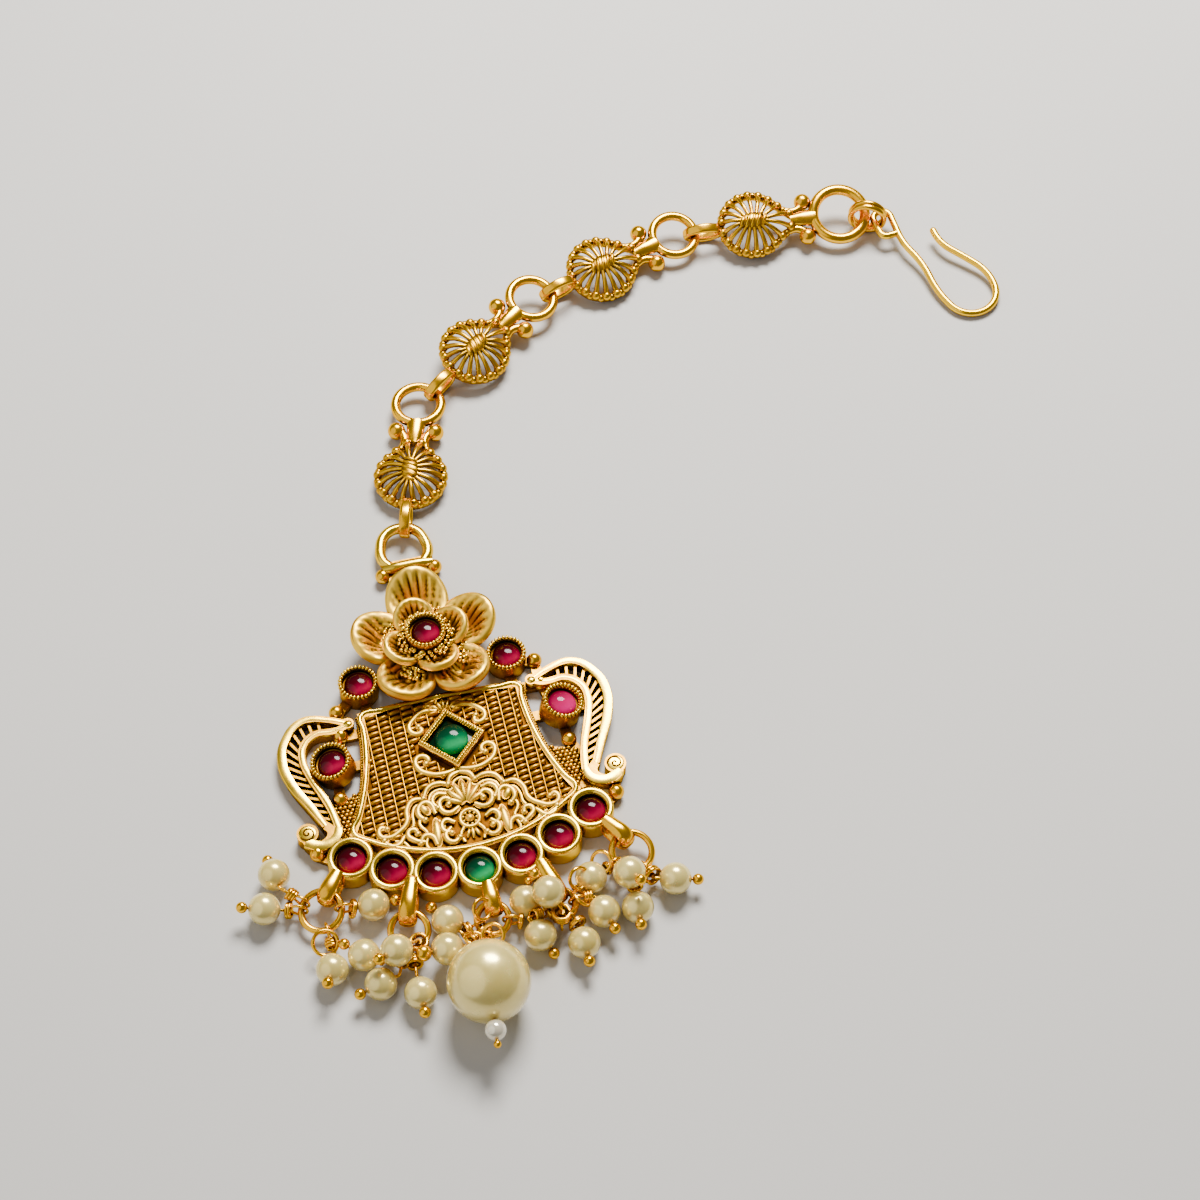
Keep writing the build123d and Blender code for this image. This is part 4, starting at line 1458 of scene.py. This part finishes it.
@dataclass(frozen=True)
class Petal:
    """Sizes of a cupped and veined petal whose lip rolls over the edge.

    Length lies along X and width along Y. Bowl is the radius of the cup's outside, wall the thickness
    of the frame's petal under it, veins how closely the veins fan out, and lip the radius of the roll.
    The larger hollow is, the wider is the deep part of the cup.
    """

    length: float
    width: float
    bowl: float
    wall: float
    veins: int
    lip: float
    hollow: float
    # where the roll starts on the flat disc and on the frame's petal, as shares, and its angle
    roll_from: float = 0.8
    span: float = 0.9
    roll_angle: float = 115.0
    thickness: float = 0.24
    vein_height: float = 0.16

    def form(self, x: float, y: float) -> tuple[tuple, float]:
        """Carries a point of a flat disc of radius 1 onto the petal.

        Args:
            x: the point's place along the petal.
            y: its place across.

        Returns:
            The point on the petal, and how much painted shade its vein groove gets.
        """
        reach = min(1.0, math.hypot(x, y))
        turn = math.atan2(y, x)
        roll = math.radians(self.roll_angle) * max(0.0, reach - self.roll_from) / (1 - self.roll_from)
        part = min(1.0, reach / self.roll_from)
        share = part * self.span
        edge = Vector((self.length / 2 * math.cos(turn), self.width / 2 * math.sin(turn)))
        inner = self.bowl - self.wall
        depth = inner - math.sqrt(inner**2 - edge.length_squared)
        rise = (part * part * (3 - 2 * part)) ** self.hollow
        x, y = edge * share + Vector((math.cos(turn), math.sin(turn))) * self.lip * math.sin(roll)
        # the veins fan out from a point behind the petal's root, and fade at its middle and at the lip
        fan = math.cos(math.atan2(y, x + self.length * 0.62) * self.veins)
        fade = min(1.0, share * 3) * min(1.0, max(0.0, (0.88 - share) / 0.3))
        along = max(0.0, min(1.0, 0.95 - 1.1 * x / self.length))
        lengthwise = (x + self.length * 0.2) / (self.length * 0.26)
        dent = math.exp(-(lengthwise**2) - (y / (self.width * 0.32)) ** 2)
        dent *= 0.22 * depth * min(1.0, 2 * self.hollow - 0.4) * (1 - share)
        level = self.wall + 0.14 + depth * (0.14 + 0.86 * rise) - self.lip * (1 - math.cos(roll))
        # painted shade in the vein troughs, fading at the middle and at the lip and strongest towards the
        # root
        groove = min(1.0, max(0.0, -fan) ** 1.7 * fade * along * 1.9)
        return (x, y, level + fan * self.vein_height * fade - dent), groove

    def make(self) -> bpy.types.Object:
        """Makes the petal round the origin.

        Returns:
            The petal.
        """
        bpy.ops.mesh.primitive_circle_add(vertices=64, radius=1, fill_type="TRIFAN")
        cup = current()
        bpy.ops.object.mode_set(mode="EDIT")
        bpy.ops.mesh.select_all(action="SELECT")
        bpy.ops.mesh.subdivide(number_cuts=11)
        bpy.ops.object.mode_set(mode="OBJECT")
        grooves = []
        for point in cup.data.vertices:
            point.co, groove = self.form(point.co.x, point.co.y)
            grooves.append(groove)
        paint(cup, "groove", grooves)
        return thicken(cup, -self.thickness)


@dataclass
class Flower:
    """Two tiers of cupped petals with rolled lips, and the gold crumbs round the centre cup."""

    finishes: Finishes
    lower: Petal = Petal(length=8.2, width=7.5, bowl=5.2, wall=0.6, veins=44, lip=0.5, hollow=0.7)
    top: Petal = Petal(length=9.2, width=8.1, bowl=5.7, wall=0.6, veins=44, lip=0.52, hollow=0.7)
    upper: Petal = Petal(length=5.2, width=5.2, bowl=3.6, wall=0.5, veins=40, lip=0.42, hollow=1.3)
    # distance from the centre, level, size and number
    crumb_rings: tuple = ((2.9, 5.2, 0.36, 28), (3.25, 4.85, 0.34, 26), (3.6, 4.6, 0.28, 18))
    # angles of the gaps between the upper petals
    crumb_gaps: tuple = (62, 152, 242, 332)

    def tier(self, name: str, petal: Petal, turns: tuple, radius: float, level: float, tilt: float) -> None:
        """A ring of petals.

        Args:
            name: the tier's name.
            petal: the petal's sizes.
            turns: the angle of each petal.
            radius: distance of a petal's middle from the flower's.
            level: its height.
            tilt: how far its outer end is raised, in degrees.
        """
        places = []
        for angle in turns:
            places.append(spot(0, FLOWER_Y, level, (0, 0, angle)) @ spot(radius, 0, 0, (0, -tilt, 0)))
        settle(strew(petal.make(), places), name, self.finishes["petal_gold"], 70)

    def crumbs(self) -> None:
        """Rough gold crumbs round the centre cup and between the inner petals."""
        rng = random.Random(7)
        rows = [(*row, 0, 360) for row in self.crumb_rings]
        for middle in self.crumb_gaps:
            for step in range(3):
                rows.append((4.5 + 0.5 * step, 3.5 - 0.25 * step, 0.36, 6, middle - 17, middle + 17))
        places = []
        for radius, level, size, count, first, last in rows:
            for step in range(count):
                angle = first + (last - first) * (step + rng.uniform(-0.3, 0.3)) / count
                x, y = polar(radius + rng.uniform(-0.12, 0.12), angle)
                grow = [size * rng.uniform(0.7, 1.3) for _ in range(3)]
                height = level + rng.uniform(-0.15, 0.15)
                turn = (rng.uniform(-40, 40), rng.uniform(-40, 40), rng.uniform(0, 180))
                places.append(spot(x, FLOWER_Y + y, height, turn) @ Matrix.Diagonal((*grow, 1)))
        cluster = strew(ball((0, 0, 0), 1.0, fine=10), places)
        for point in cluster.data.vertices:
            x, y, z = point.co
            swirl = math.sin(x * 9.1 + y * 4.3) * math.cos(y * 8.3 - z * 6.0)
            point.co += Vector(point.normal) * swirl * 0.06
        settle(cluster, "stamens", self.finishes["polished_gold"], 70)

    def build(self) -> None:
        """Builds the flower."""
        self.tier("outer_petals", self.lower, (162, 234, 306, 18), 6.3, 1.3, 14)
        self.tier("top_petal", self.top, (90,), 6.8, 1.3, 14)
        self.tier("inner_petals", self.upper, (17, 107, 197, 287), 3.9, 3.0, 24)
        self.crumbs()


# ---- Chain ----------------------------------------------------------------------------------


@dataclass
class Chain:
    """Four domed links, each with its bail, balls and soldered ring."""

    finishes: Finishes
    start: tuple = (0.0, 30.6)
    pitch: float = 23.6
    dome_x: float = 11.5
    radius: float = 4.4
    tip: float = 6.6
    ribs: int = 18
    # heights of the wall's middle, the beads, the ribs' feet and heads, and the boss and its ridges
    wall_level: float = 0.74
    bead_level: float = 1.1
    rim_level: float = 1.5
    hub_level: float = 3.15
    boss_level: float = 2.85
    ridge_level: float = 3.2
    # where a link's soldered ring starts, and the heights of ring and balls
    ring_x: float = 20.48
    ring_level: float = 1.5
    ball_level: float = 1.1
    bail_x: float = 1.6
    bail_length: float = 5.75
    bail_height: float = 3.5
    bail_wall: float = 0.75
    bail_level: float = 1.8
    # the bail's rounded outline, in shares of its half length and half height
    bail_outline: tuple = (
        (-1, -0.25), (-0.62, -1), (0.62, -1), (1, -0.25), (1, 0.25), (0.62, 1), (-0.62, 1), (-1, 0.25),
    )
    # direction, roll, how far the bail hangs, and radius and wire of the soldered ring
    rows: tuple = (
        (74.0, 0.0, 0.0, 3.12, 0.475),
        (37.0, 12.0, 1.02, 3.12, 0.475),
        (17.5, 14.0, 0.45, 3.12, 0.475),
        (-4.5, 20.0, 1.25, 3.75, 0.6),
    )

    def reach(self, turn: float) -> float:
        """Distance of the dome's rim from its middle.

        Args:
            turn: degrees from the point of the drop.

        Returns:
            The distance.
        """
        flare = math.degrees(math.acos(self.radius / self.tip))
        away = abs((turn + 180) % 360 - 180)
        if away < flare:
            return self.radius / math.cos(math.radians(flare - away))
        return self.radius

    def wall(self) -> bpy.types.Object:
        """Upright wall round the dome's foot, its corners a little eased.

        Returns:
            The wall.
        """
        points = []
        for step in range(48):
            turn = step * 7.5
            soft = sum(self.reach(turn + off) for off in (-5, 0, 5)) / 3
            x, y = polar(soft, turn)
            points.append((self.dome_x + x, y, self.wall_level))
        return press(bent_wire(points, 0.38, closed=True, steps=2), self.wall_level, 1.85)

    def cage(self) -> list[bpy.types.Object]:
        """Ribs from the hub to the rim, each with its bead, and the beads between them.

        Returns:
            The pieces.
        """
        parts = []
        gap = 360 / self.ribs
        for step in range(self.ribs):
            turn = (step + 0.5) * gap
            out = Vector((*polar(1.0, turn), 0))
            rim = Vector((self.dome_x, 0, self.rim_level)) + out * self.reach(turn)
            hub = Vector((self.dome_x + 1.75 * out.x, 1.05 * out.y, self.hub_level))
            waist = (hub + rim) / 2 + Vector((0, 0, 0.42)) + out * 0.15
            parts.append(bent_wire([tuple(hub), tuple(waist), tuple(rim)], 0.35, taper=[0.8, 0.95, 1.2]))
            parts.append(ball(tuple(rim), 0.68))
            between = (step + 1.0) * gap
            x, y = polar(self.reach(between) + 0.08, between)
            parts.append(ball((self.dome_x + x, y, self.bead_level), 0.58, fine=12))
        return parts

    def hub(self) -> list[bpy.types.Object]:
        """Oval boss in the middle of the dome, with five slanting ridges.

        Returns:
            The pieces.
        """
        parts = [ball((self.dome_x, 0, self.boss_level), 1.0, (2.1, 1.35, 0.75), fine=24)]
        for step in range(5):
            along = (step - 2) * 0.78
            size = math.sqrt(max(0.2, 1 - (along / 2.3) ** 2))
            ridge = (0.36, 1.28 * size, 0.5 * size + 0.1)
            parts.append(ball((self.dome_x + along, 0, self.ridge_level), 1.0, ridge, (0, 0, -24), 16))
        return parts

    def bail(self, drop: float) -> bpy.types.Object:
        """A broad band bent round the ring before it.

        Args:
            drop: how far it hangs below the dome's level.

        Returns:
            The bail.
        """
        path = bpy.data.curves.new("bail", "CURVE")
        path.dimensions = "2D"
        path.fill_mode = "NONE"
        path.resolution_u = 6
        path.extrude = 0.34
        path.bevel_depth = self.bail_wall / 2
        path.bevel_resolution = 4
        width = self.bail_length - self.bail_wall
        height = self.bail_height - self.bail_wall
        knots(path, [(x * width / 2, y * height / 2, 0) for x, y in self.bail_outline], True)
        middle = self.bail_x + self.bail_length / 2
        return moved(as_mesh(path), spot(middle, 0, self.bail_level - drop, (90, 0, 0)))

    def fittings(self, drop: float, ring_radius: float, ring_wire: float) -> bpy.types.Object:
        """Bail, balls with their stems, neck and soldered ring of one link.

        Args:
            drop: how far its bail hangs.
            ring_radius: radius of its soldered ring.
            ring_wire: that ring's wire.

        Returns:
            The fittings in one piece.
        """
        x = self.ring_x
        parts = [self.bail(drop)]
        for side in (-1, 1):
            parts.append(ball((x - 1.2, side * 2.62, self.ball_level), 1.2, fine=28))
            stem = [
                (x - 4.0, side * 1.6, self.ball_level),
                (x - 2.6, side * 1.35, self.ball_level + 0.1),
                (x - 1.3, side * 2.0, self.ball_level + 0.1),
            ]
            parts.append(bent_wire(stem, 0.62, taper=[0.8, 0.95, 1.0], steps=5))
        neck = [
            (x - 3.4, 0.0, self.ring_level),
            (x - 1.6, 0.0, self.ring_level + 0.1),
            (x + 0.1, 0.0, self.ring_level),
        ]
        parts.append(press(bent_wire(neck, 1.15, taper=[0.7, 1.0, 1.2], steps=5), self.ring_level, 0.62))
        parts.append(ring((x + ring_radius, 0, self.ring_level), ring_radius, ring_wire + 0.18))
        return fuse(parts)

    def build(self) -> None:
        """Builds the chain along its lie, each link just above the lowest point of the frame's."""
        x, y = self.start
        for number, (azimuth, roll, drop, ring_radius, ring_wire) in enumerate(self.rows, start=1):
            node = f"link_{number}"
            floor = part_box(node)[0][2] / MM
            dome = fuse([self.wall()] + self.cage() + self.hub())
            rest = self.fittings(drop, ring_radius, ring_wire)
            place = spot(x, y, 0, (0, 0, azimuth)) @ spot(0, 0, 0, (roll, 0, 0))
            for thing in (dome, rest):
                moved(thing, place)
            lowest = min(point.co.z for thing in (dome, rest) for point in thing.data.vertices)
            for thing in (dome, rest):
                moved(thing, Matrix.Translation((0, 0, floor - lowest + 0.01)))
            settle(dome, node + "_dome", self.finishes["chain_gold"], 60)
            settle(rest, node + "_fittings", self.finishes["amber_gold"], 50)
            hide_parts(node)
            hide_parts(node)
            along, aside = polar(self.pitch, azimuth)
            x += along
            y += aside


# ---- Drops ----------------------------------------------------------------------------------


@dataclass
class Drops:
    """Pearls on wound pins, five clusters on jump rings."""

    finishes: Finishes
    bail_reach: float = 31.2
    level: float = 1.85
    tilt: float = 12.0
    ring_wire: float = 0.43
    pearl_radius: float = 2.0
    bead_radius: float = 1.28
    # radii of a pin's eye, of its wire and of the wire wound round its neck
    eye: float = 1.05
    pin_wire: float = 0.18
    big_pin_wire: float = 0.22
    wound_wire: float = 0.23
    # angle of its bail, middle (x, y) and radius
    rings: tuple = (
        (-36.5, -19.8, -19.5, 2.48),
        (-17.9, -9.95, -24.5, 2.27),
        (1.0, 0.2, -25.3, 1.95),
        (15.2, 8.6, -25.25, 1.8),
        (35.0, 18.7, -20.3, 2.48),
    )
    # cluster, middle (x, y, z), direction and rise of its pin, and from its middle to the pin's bend
    pearls: tuple = (
        (1, -24.6, -13.4, 2.0, 100, -19, 2.45),
        (1, -26.5, -17.7, 2.0, 170, 15, 2.45),
        (1, -13.5, -20.2, 2.0, -5, 10, 2.45),
        (1, -19.9, -27.5, 2.0, -110, 30, 2.45),
        (2, -15.85, -26.5, 2.0, 140, 10, 2.45),
        (2, -12.0, -28.0, 4.5, -154, 22, 3.4),
        (2, -14.6, -30.7, 2.0, 196, 2, 2.45),
        (2, -10.2, -32.9, 2.0, -90, 8, 2.45),
        (3, -5.2, -24.42, 2.0, 125, 0, 2.45),
        (3, -6.0, -28.6, 3.2, -175, 15, 2.45),
        (3, 4.5, -24.0, 2.0, 70, 10, 2.45),
        (4, 7.2, -25.0, 5.3, 120, 25, 2.45),
        (4, 5.3, -28.8, 2.0, -62, -25, 2.6),
        (4, 13.5, -27.5, 2.0, -75, 6, 2.45),
        (4, 10.2, -31.0, 2.0, -90, 10, 2.45),
        (5, 17.4, -24.3, 4.5, -67, 35, 2.45),
        (5, 17.6, -27.9, 2.0, -96, 15, 2.45),
        (5, 23.0, -25.2, 2.0, -16, 1, 2.45),
        (5, 13.0, -22.7, 2.0, 200, 0, 2.25),
    )
    # the end pearl, in the same order
    big: tuple = (3, -2.18, -34.7, 5.05, -95, 3, 5.6)
    big_radius: float = 5.05
    # radii of the wound necks, taken in turn
    neck_sizes: tuple = (0.65, 0.85, 1.0)
    big_neck: float = 0.7
    # cluster, middle (x, y, z), radius, turns about X and Y in radians
    loose_eyes: tuple = (
        (1, -20.1, -23.9, 2.1, 1.5, 0.35, 0.1),
        (3, -0.45, -28.75, 4.7, 1.3, 0.35, -0.26),
        (3, -2.6, -28.6, 4.4, 1.2, -0.4, 0.35),
        (3, -0.9, -24.6, 3.6, 1.25, 0.5, 0.6),
        (4, 11.4, -23.2, 3.5, 1.3, 0.7, 0.5),
        (4, 11.2, -25.6, 3.0, 1.2, -0.3, 0.8),
        (5, 14.6, -21.4, 3.0, 1.3, 0.4, -0.6),
    )

    def slope(self, number: int) -> tuple[Vector, Vector, Vector]:
        """How a jump ring lies: it leans up towards its bail.

        Args:
            number: the ring.

        Returns:
            Flat direction to the bail, direction up the ring's plane, and level direction across it.
        """
        angle, x, y, _ = self.rings[number - 1]
        turn = math.radians(angle)
        away = self.bail_reach * math.sin(turn)
        bail = Vector((away, RIM_CENTRE_Y - self.bail_reach * math.cos(turn), 0))
        flat = (bail - Vector((x, y, 0))).normalized()
        rise = math.radians(self.tilt)
        uphill = Vector((flat.x * math.cos(rise), flat.y * math.cos(rise), math.sin(rise)))
        return flat, uphill, Vector((-flat.y, flat.x, 0))

    def touch(self, number: int, bearing: Vector) -> Vector:
        """Point of a jump ring's wire in a flat direction from its middle.

        Args:
            number: the ring.
            bearing: the direction.

        Returns:
            The point.
        """
        _, x, y, radius = self.rings[number - 1]
        flat, uphill, across = self.slope(number)
        along = bearing.dot(flat) / math.cos(math.radians(self.tilt))
        side = bearing.dot(across)
        size = math.hypot(along, side)
        return Vector((x, y, self.level)) + uphill * (radius * along / size) + across * (radius * side / size)

    def wraps(self, row: tuple, wire: float, neck: float) -> bpy.types.Object:
        """The turns of wire that close a pin's eye.

        Args:
            row: the pearl's row.
            wire: the pin's wire radius.
            neck: radius of the turns.

        Returns:
            The wound wire.
        """
        number, x, y, z, azimuth, elevation, reach = row
        a, e = math.radians(azimuth), math.radians(elevation)
        course = Vector((math.cos(a) * math.cos(e), math.sin(a) * math.cos(e), math.sin(e)))
        bend = Vector((x, y, z)) - course * reach
        _, ring_x, ring_y, _ = self.rings[number - 1]
        bearing = Vector((bend.x - ring_x, bend.y - ring_y, 0)).normalized()
        # the eye's middle lies just outside the ring's wire, high enough to clear the floor
        touch = self.touch(number, bearing)
        height = max(touch.z, self.eye + wire + 0.1)
        eye = Vector((touch.x + bearing.x * 0.3, touch.y + bearing.y * 0.3, height))
        toward = (bend - eye).normalized()
        shoulder = eye + toward * self.eye
        span = min(0.9, max(0.15, (bend - shoulder).length - 0.3)) + 0.2
        side = toward.cross(Vector((0, 0, 1))).normalized()
        over = side.cross(toward)
        # eight points to a turn, and a turn every 0.4 mm, two at least
        steps = 8 * int(max(2.0, round(span / 0.4)))
        points = []
        for step in range(steps + 1):
            turn = math.tau * step / 8
            along = shoulder + toward * (-0.12 + span * step / steps)
            points.append(tuple(along + side * neck * math.cos(turn) + over * neck * math.sin(turn)))
        return bent_wire(points, self.wound_wire, taper=[0.5] + [1.0] * (steps - 1) + [0.6], steps=3)

    def jump_ring(self, number: int) -> None:
        """Stout round ring on a bail, in place of the frame's.

        Args:
            number: the ring.
        """
        _, x, y, radius = self.rings[number - 1]
        _, uphill, across = self.slope(number)
        turn = uphill.cross(across).to_track_quat("Z", "Y").to_euler()
        band = ring((x, y, self.level), radius, self.ring_wire, turn)
        settle(band, f"ring_band_{number}", self.finishes["amber_gold"], 60)
        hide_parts(f"jump_ring_{number}")

    def necks(self, number: int) -> None:
        """Wound necks and loose eyes of one cluster.

        Args:
            number: the cluster, and its ring.
        """
        wound = []
        for place, row in enumerate(self.pearls):
            if row[0] == number:
                wound.append(self.wraps(row, self.pin_wire, self.neck_sizes[place % 3]))
        for cluster, x, y, z, radius, about_x, about_y in self.loose_eyes:
            if cluster == number:
                wound.append(ring((x, y, z), radius, self.wound_wire, (about_x, about_y, 0)))
        if number == self.big[0]:
            wound.append(self.wraps(self.big, self.big_pin_wire, self.big_neck))
        settle(fuse(wound), f"wound_necks_{number}", self.finishes["amber_gold"], 60)

    def beads(self) -> None:
        """The small pearls, each a little out of round, the end pearl and the white bead."""
        rng = random.Random(3)
        for number, row in enumerate(self.pearls, start=1):
            squash = 1.0 - rng.uniform(0.0, 0.03)
            turn = (rng.uniform(0, 20), rng.uniform(0, 20), rng.uniform(0, 180))
            pearl = ball(row[1:4], self.pearl_radius, (1, 1, squash), turn, 44)
            settle(pearl, f"pearl_{number}_skin", self.finishes["pearl_skin"], 80)
            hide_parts(f"pearl_{number}")
        drop = ball(self.big[1:4], self.big_radius, fine=72)
        settle(drop, "pearl_drop_skin", self.finishes["pearl_skin"], 80)
        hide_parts("pearl_drop")
        low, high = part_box("bead_white")
        middle = tuple((a + b) / 2 / MM for a, b in zip(low, high))
        bead = ball(middle, self.bead_radius, fine=36)
        settle(bead, "bead_white_skin", self.finishes["white_glaze"], 80)
        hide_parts("bead_white")

    def build(self) -> None:
        """Builds the rings, the wound necks and the beads."""
        clusters = range(1, len(self.rings) + 1)
        for number in clusters:
            self.jump_ring(number)
        for number in clusters:
            self.necks(number)
        self.beads()


# ---- Bails and top ring ---------------------------------------------------------------------


@dataclass
class Fittings:
    """Round-edged bails of the drops and the ring above the flower."""

    finishes: Finishes
    half_height: float = 1.26
    level: float = 2.15
    wire: float = 0.48
    # how much wider than its wire a bail is, and from its end back to the middle of its bend
    spread: float = 1.95
    nose: float = 1.62
    # angle on the rim, and distances of start and end from the rim's middle
    bails: tuple = (
        (-36.5, 28.3, 32.63),
        (-17.9, 27.1, 32.89),
        (1.0, 28.3, 32.49),
        (15.2, 28.0, 33.69),
        (35.0, 28.3, 32.72),
    )
    ring_line: tuple = (
        (-2.3, 28.1), (-3.0, 29.2), (-3.0, 31.2), (-2.0, 33.2), (0, 33.9),
        (2.0, 33.2), (3.0, 31.2), (3.0, 29.2), (2.3, 28.1),
    )
    bar_line: tuple = ((-3.3, 27.7, 1.5), (-1.6, 27.72, 1.56), (1.6, 27.72, 1.56), (3.3, 27.7, 1.5))

    def bail(self, angle: float, root: float, tip: float) -> bpy.types.Object:
        """One bail, bent in the plane that stands on the rim's radius.

        Args:
            angle: angle on the rim.
            root: distance of its start from the rim's middle.
            tip: distance of its end.

        Returns:
            The bail.
        """
        bend = tip - self.nose
        # rows of distance, height and share of the wire's thickness
        rows = [(root + 0.2, self.half_height, 0.8), (root + 0.9, self.half_height, 0.95)]
        for turn in (70, 35, 0, -35, -70):
            along, up = polar(self.half_height, turn)
            rows.append((bend + along, up, 1.15))
        rows += [(root + 0.9, -self.half_height, 0.95), (root + 0.2, -self.half_height, 0.8)]
        taper = [size for _, _, size in rows]
        loop = bent_wire([(x, 0, z) for x, z, _ in rows], self.wire, taper=taper, steps=5)
        wide = moved(loop, Matrix.Diagonal((1, self.spread, 1, 1)))
        return moved(wide, spot(0, RIM_CENTRE_Y, self.level, (0, 0, angle - 90)))

    def build(self) -> None:
        """Builds the bails, the top ring and its foot bar."""
        loops = [self.bail(*row) for row in self.bails]
        settle(fuse(loops), "drop_bails", self.finishes["amber_gold"], 60)
        band = bent_wire([(x, y, 1.45) for x, y in self.ring_line], 0.72, steps=8)
        bar = bent_wire(list(self.bar_line), 0.76, taper=[0.8, 1.05, 1.05, 0.8])
        settle(fuse([band, bar]), "top_ring", self.finishes["polished_gold"], 60)


# ---- Frame nodes that stay ------------------------------------------------------------------


@dataclass
class KeptMetal:
    """Frame nodes whose shape is right and that only need their metal."""

    finishes: Finishes
    coats: tuple = (
        ("pendant", "antique_gold"),
        ("hook", "wire_gold"),
        ("hook_link", "amber_gold"),
    )

    def build(self) -> None:
        """Dresses the nodes."""
        rows = list(self.coats)
        rows += [(f"pins_{number}", "amber_gold") for number in range(1, 6)]
        for node, finish in rows:
            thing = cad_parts[node]
            for place in thing.material_slots:
                place.material = self.finishes[finish]
            LOG.info("%s wears %s", node, finish)


# ---- Studio ---------------------------------------------------------------------------------


@dataclass
class Studio:
    """Pale floor, soft light and the camera."""

    target: tuple = (23.68, 17.61, 0.0)
    eye: tuple = (-19.29, -163.46, 286.57)
    lens: float = 78.0
    # where the lamps aim
    lit: tuple = (20.0, 15.0, 0.0)

    def floor(self) -> None:
        """Plain pale floor."""
        bpy.ops.mesh.primitive_plane_add(size=4, location=(0, 0, -0.0001))
        ground = current()
        ground.name = "floor"
        graph = Graph("floor")
        tone = graph.ramp(graph.noise(6, 2), [(0.3, (0.50, 0.49, 0.475)), (0.7, (0.54, 0.53, 0.515))])
        graph.join(tone, graph.shader.inputs["Base Color"])
        graph.shader.inputs["Roughness"].default_value = 0.8
        ground.data.materials.append(graph.material)

    def lamp(self, name: str, place: tuple, size: tuple, power: float, colour: tuple) -> None:
        """Adds a soft box that looks at the jewel.

        Args:
            name: its name.
            place: where it stands, in millimetres.
            size: its two sides, in millimetres.
            power: watts.
            colour: its colour.
        """
        light = bpy.data.lights.new(name, "AREA")
        light.shape = "ELLIPSE"
        light.size, light.size_y = size[0] * MM, size[1] * MM
        light.energy = power
        light.color = colour
        stand = bpy.data.objects.new(name, light)
        stand.location = Vector(place) * MM
        aim = Vector(self.lit) * MM - stand.location
        stand.rotation_euler = aim.to_track_quat("-Z", "Y").to_euler()
        bpy.context.collection.objects.link(stand)

    def room(self) -> None:
        """Weak warm light from all round."""
        world = bpy.data.worlds.new("studio")
        world.use_nodes = True
        back = world.node_tree.nodes["Background"]
        back.inputs["Color"].default_value = (0.95, 0.91, 0.86, 1)
        back.inputs["Strength"].default_value = 0.2
        bpy.context.scene.world = world

    def camera(self) -> None:
        """The camera that looks along the slope at the jewel."""
        lens = bpy.data.cameras.new("camera")
        lens.lens = self.lens
        lens.sensor_width = 36.0
        lens.clip_start = 0.01
        camera = bpy.data.objects.new("camera", lens)
        camera.location = Vector(self.eye) * MM
        aim = Vector(self.target) - Vector(self.eye)
        camera.rotation_euler = aim.to_track_quat("-Z", "Y").to_euler()
        bpy.context.collection.objects.link(camera)
        bpy.context.scene.camera = camera

    def build(self) -> None:
        """Sets up floor, lights, world and camera."""
        self.floor()
        self.lamp("key", (120, 250, 350), (230, 170), 5.6, (1.0, 0.97, 0.92))
        self.lamp("fill", (-620, -120, 520), (1300, 1300), 3.9, (1.0, 0.98, 0.95))
        self.room()
        self.camera()


def main() -> None:
    """Builds every sub-assembly in order."""
    logging.basicConfig(level=logging.INFO, format="%(message)s")
    bare()
    finishes = Finishes().build()
    for work in (Panel, Settings, Wings, Flower, Chain, Fittings, Drops, KeptMetal):
        work(finishes).build()
    Studio().build()


if __name__ == "__main__":
    main()
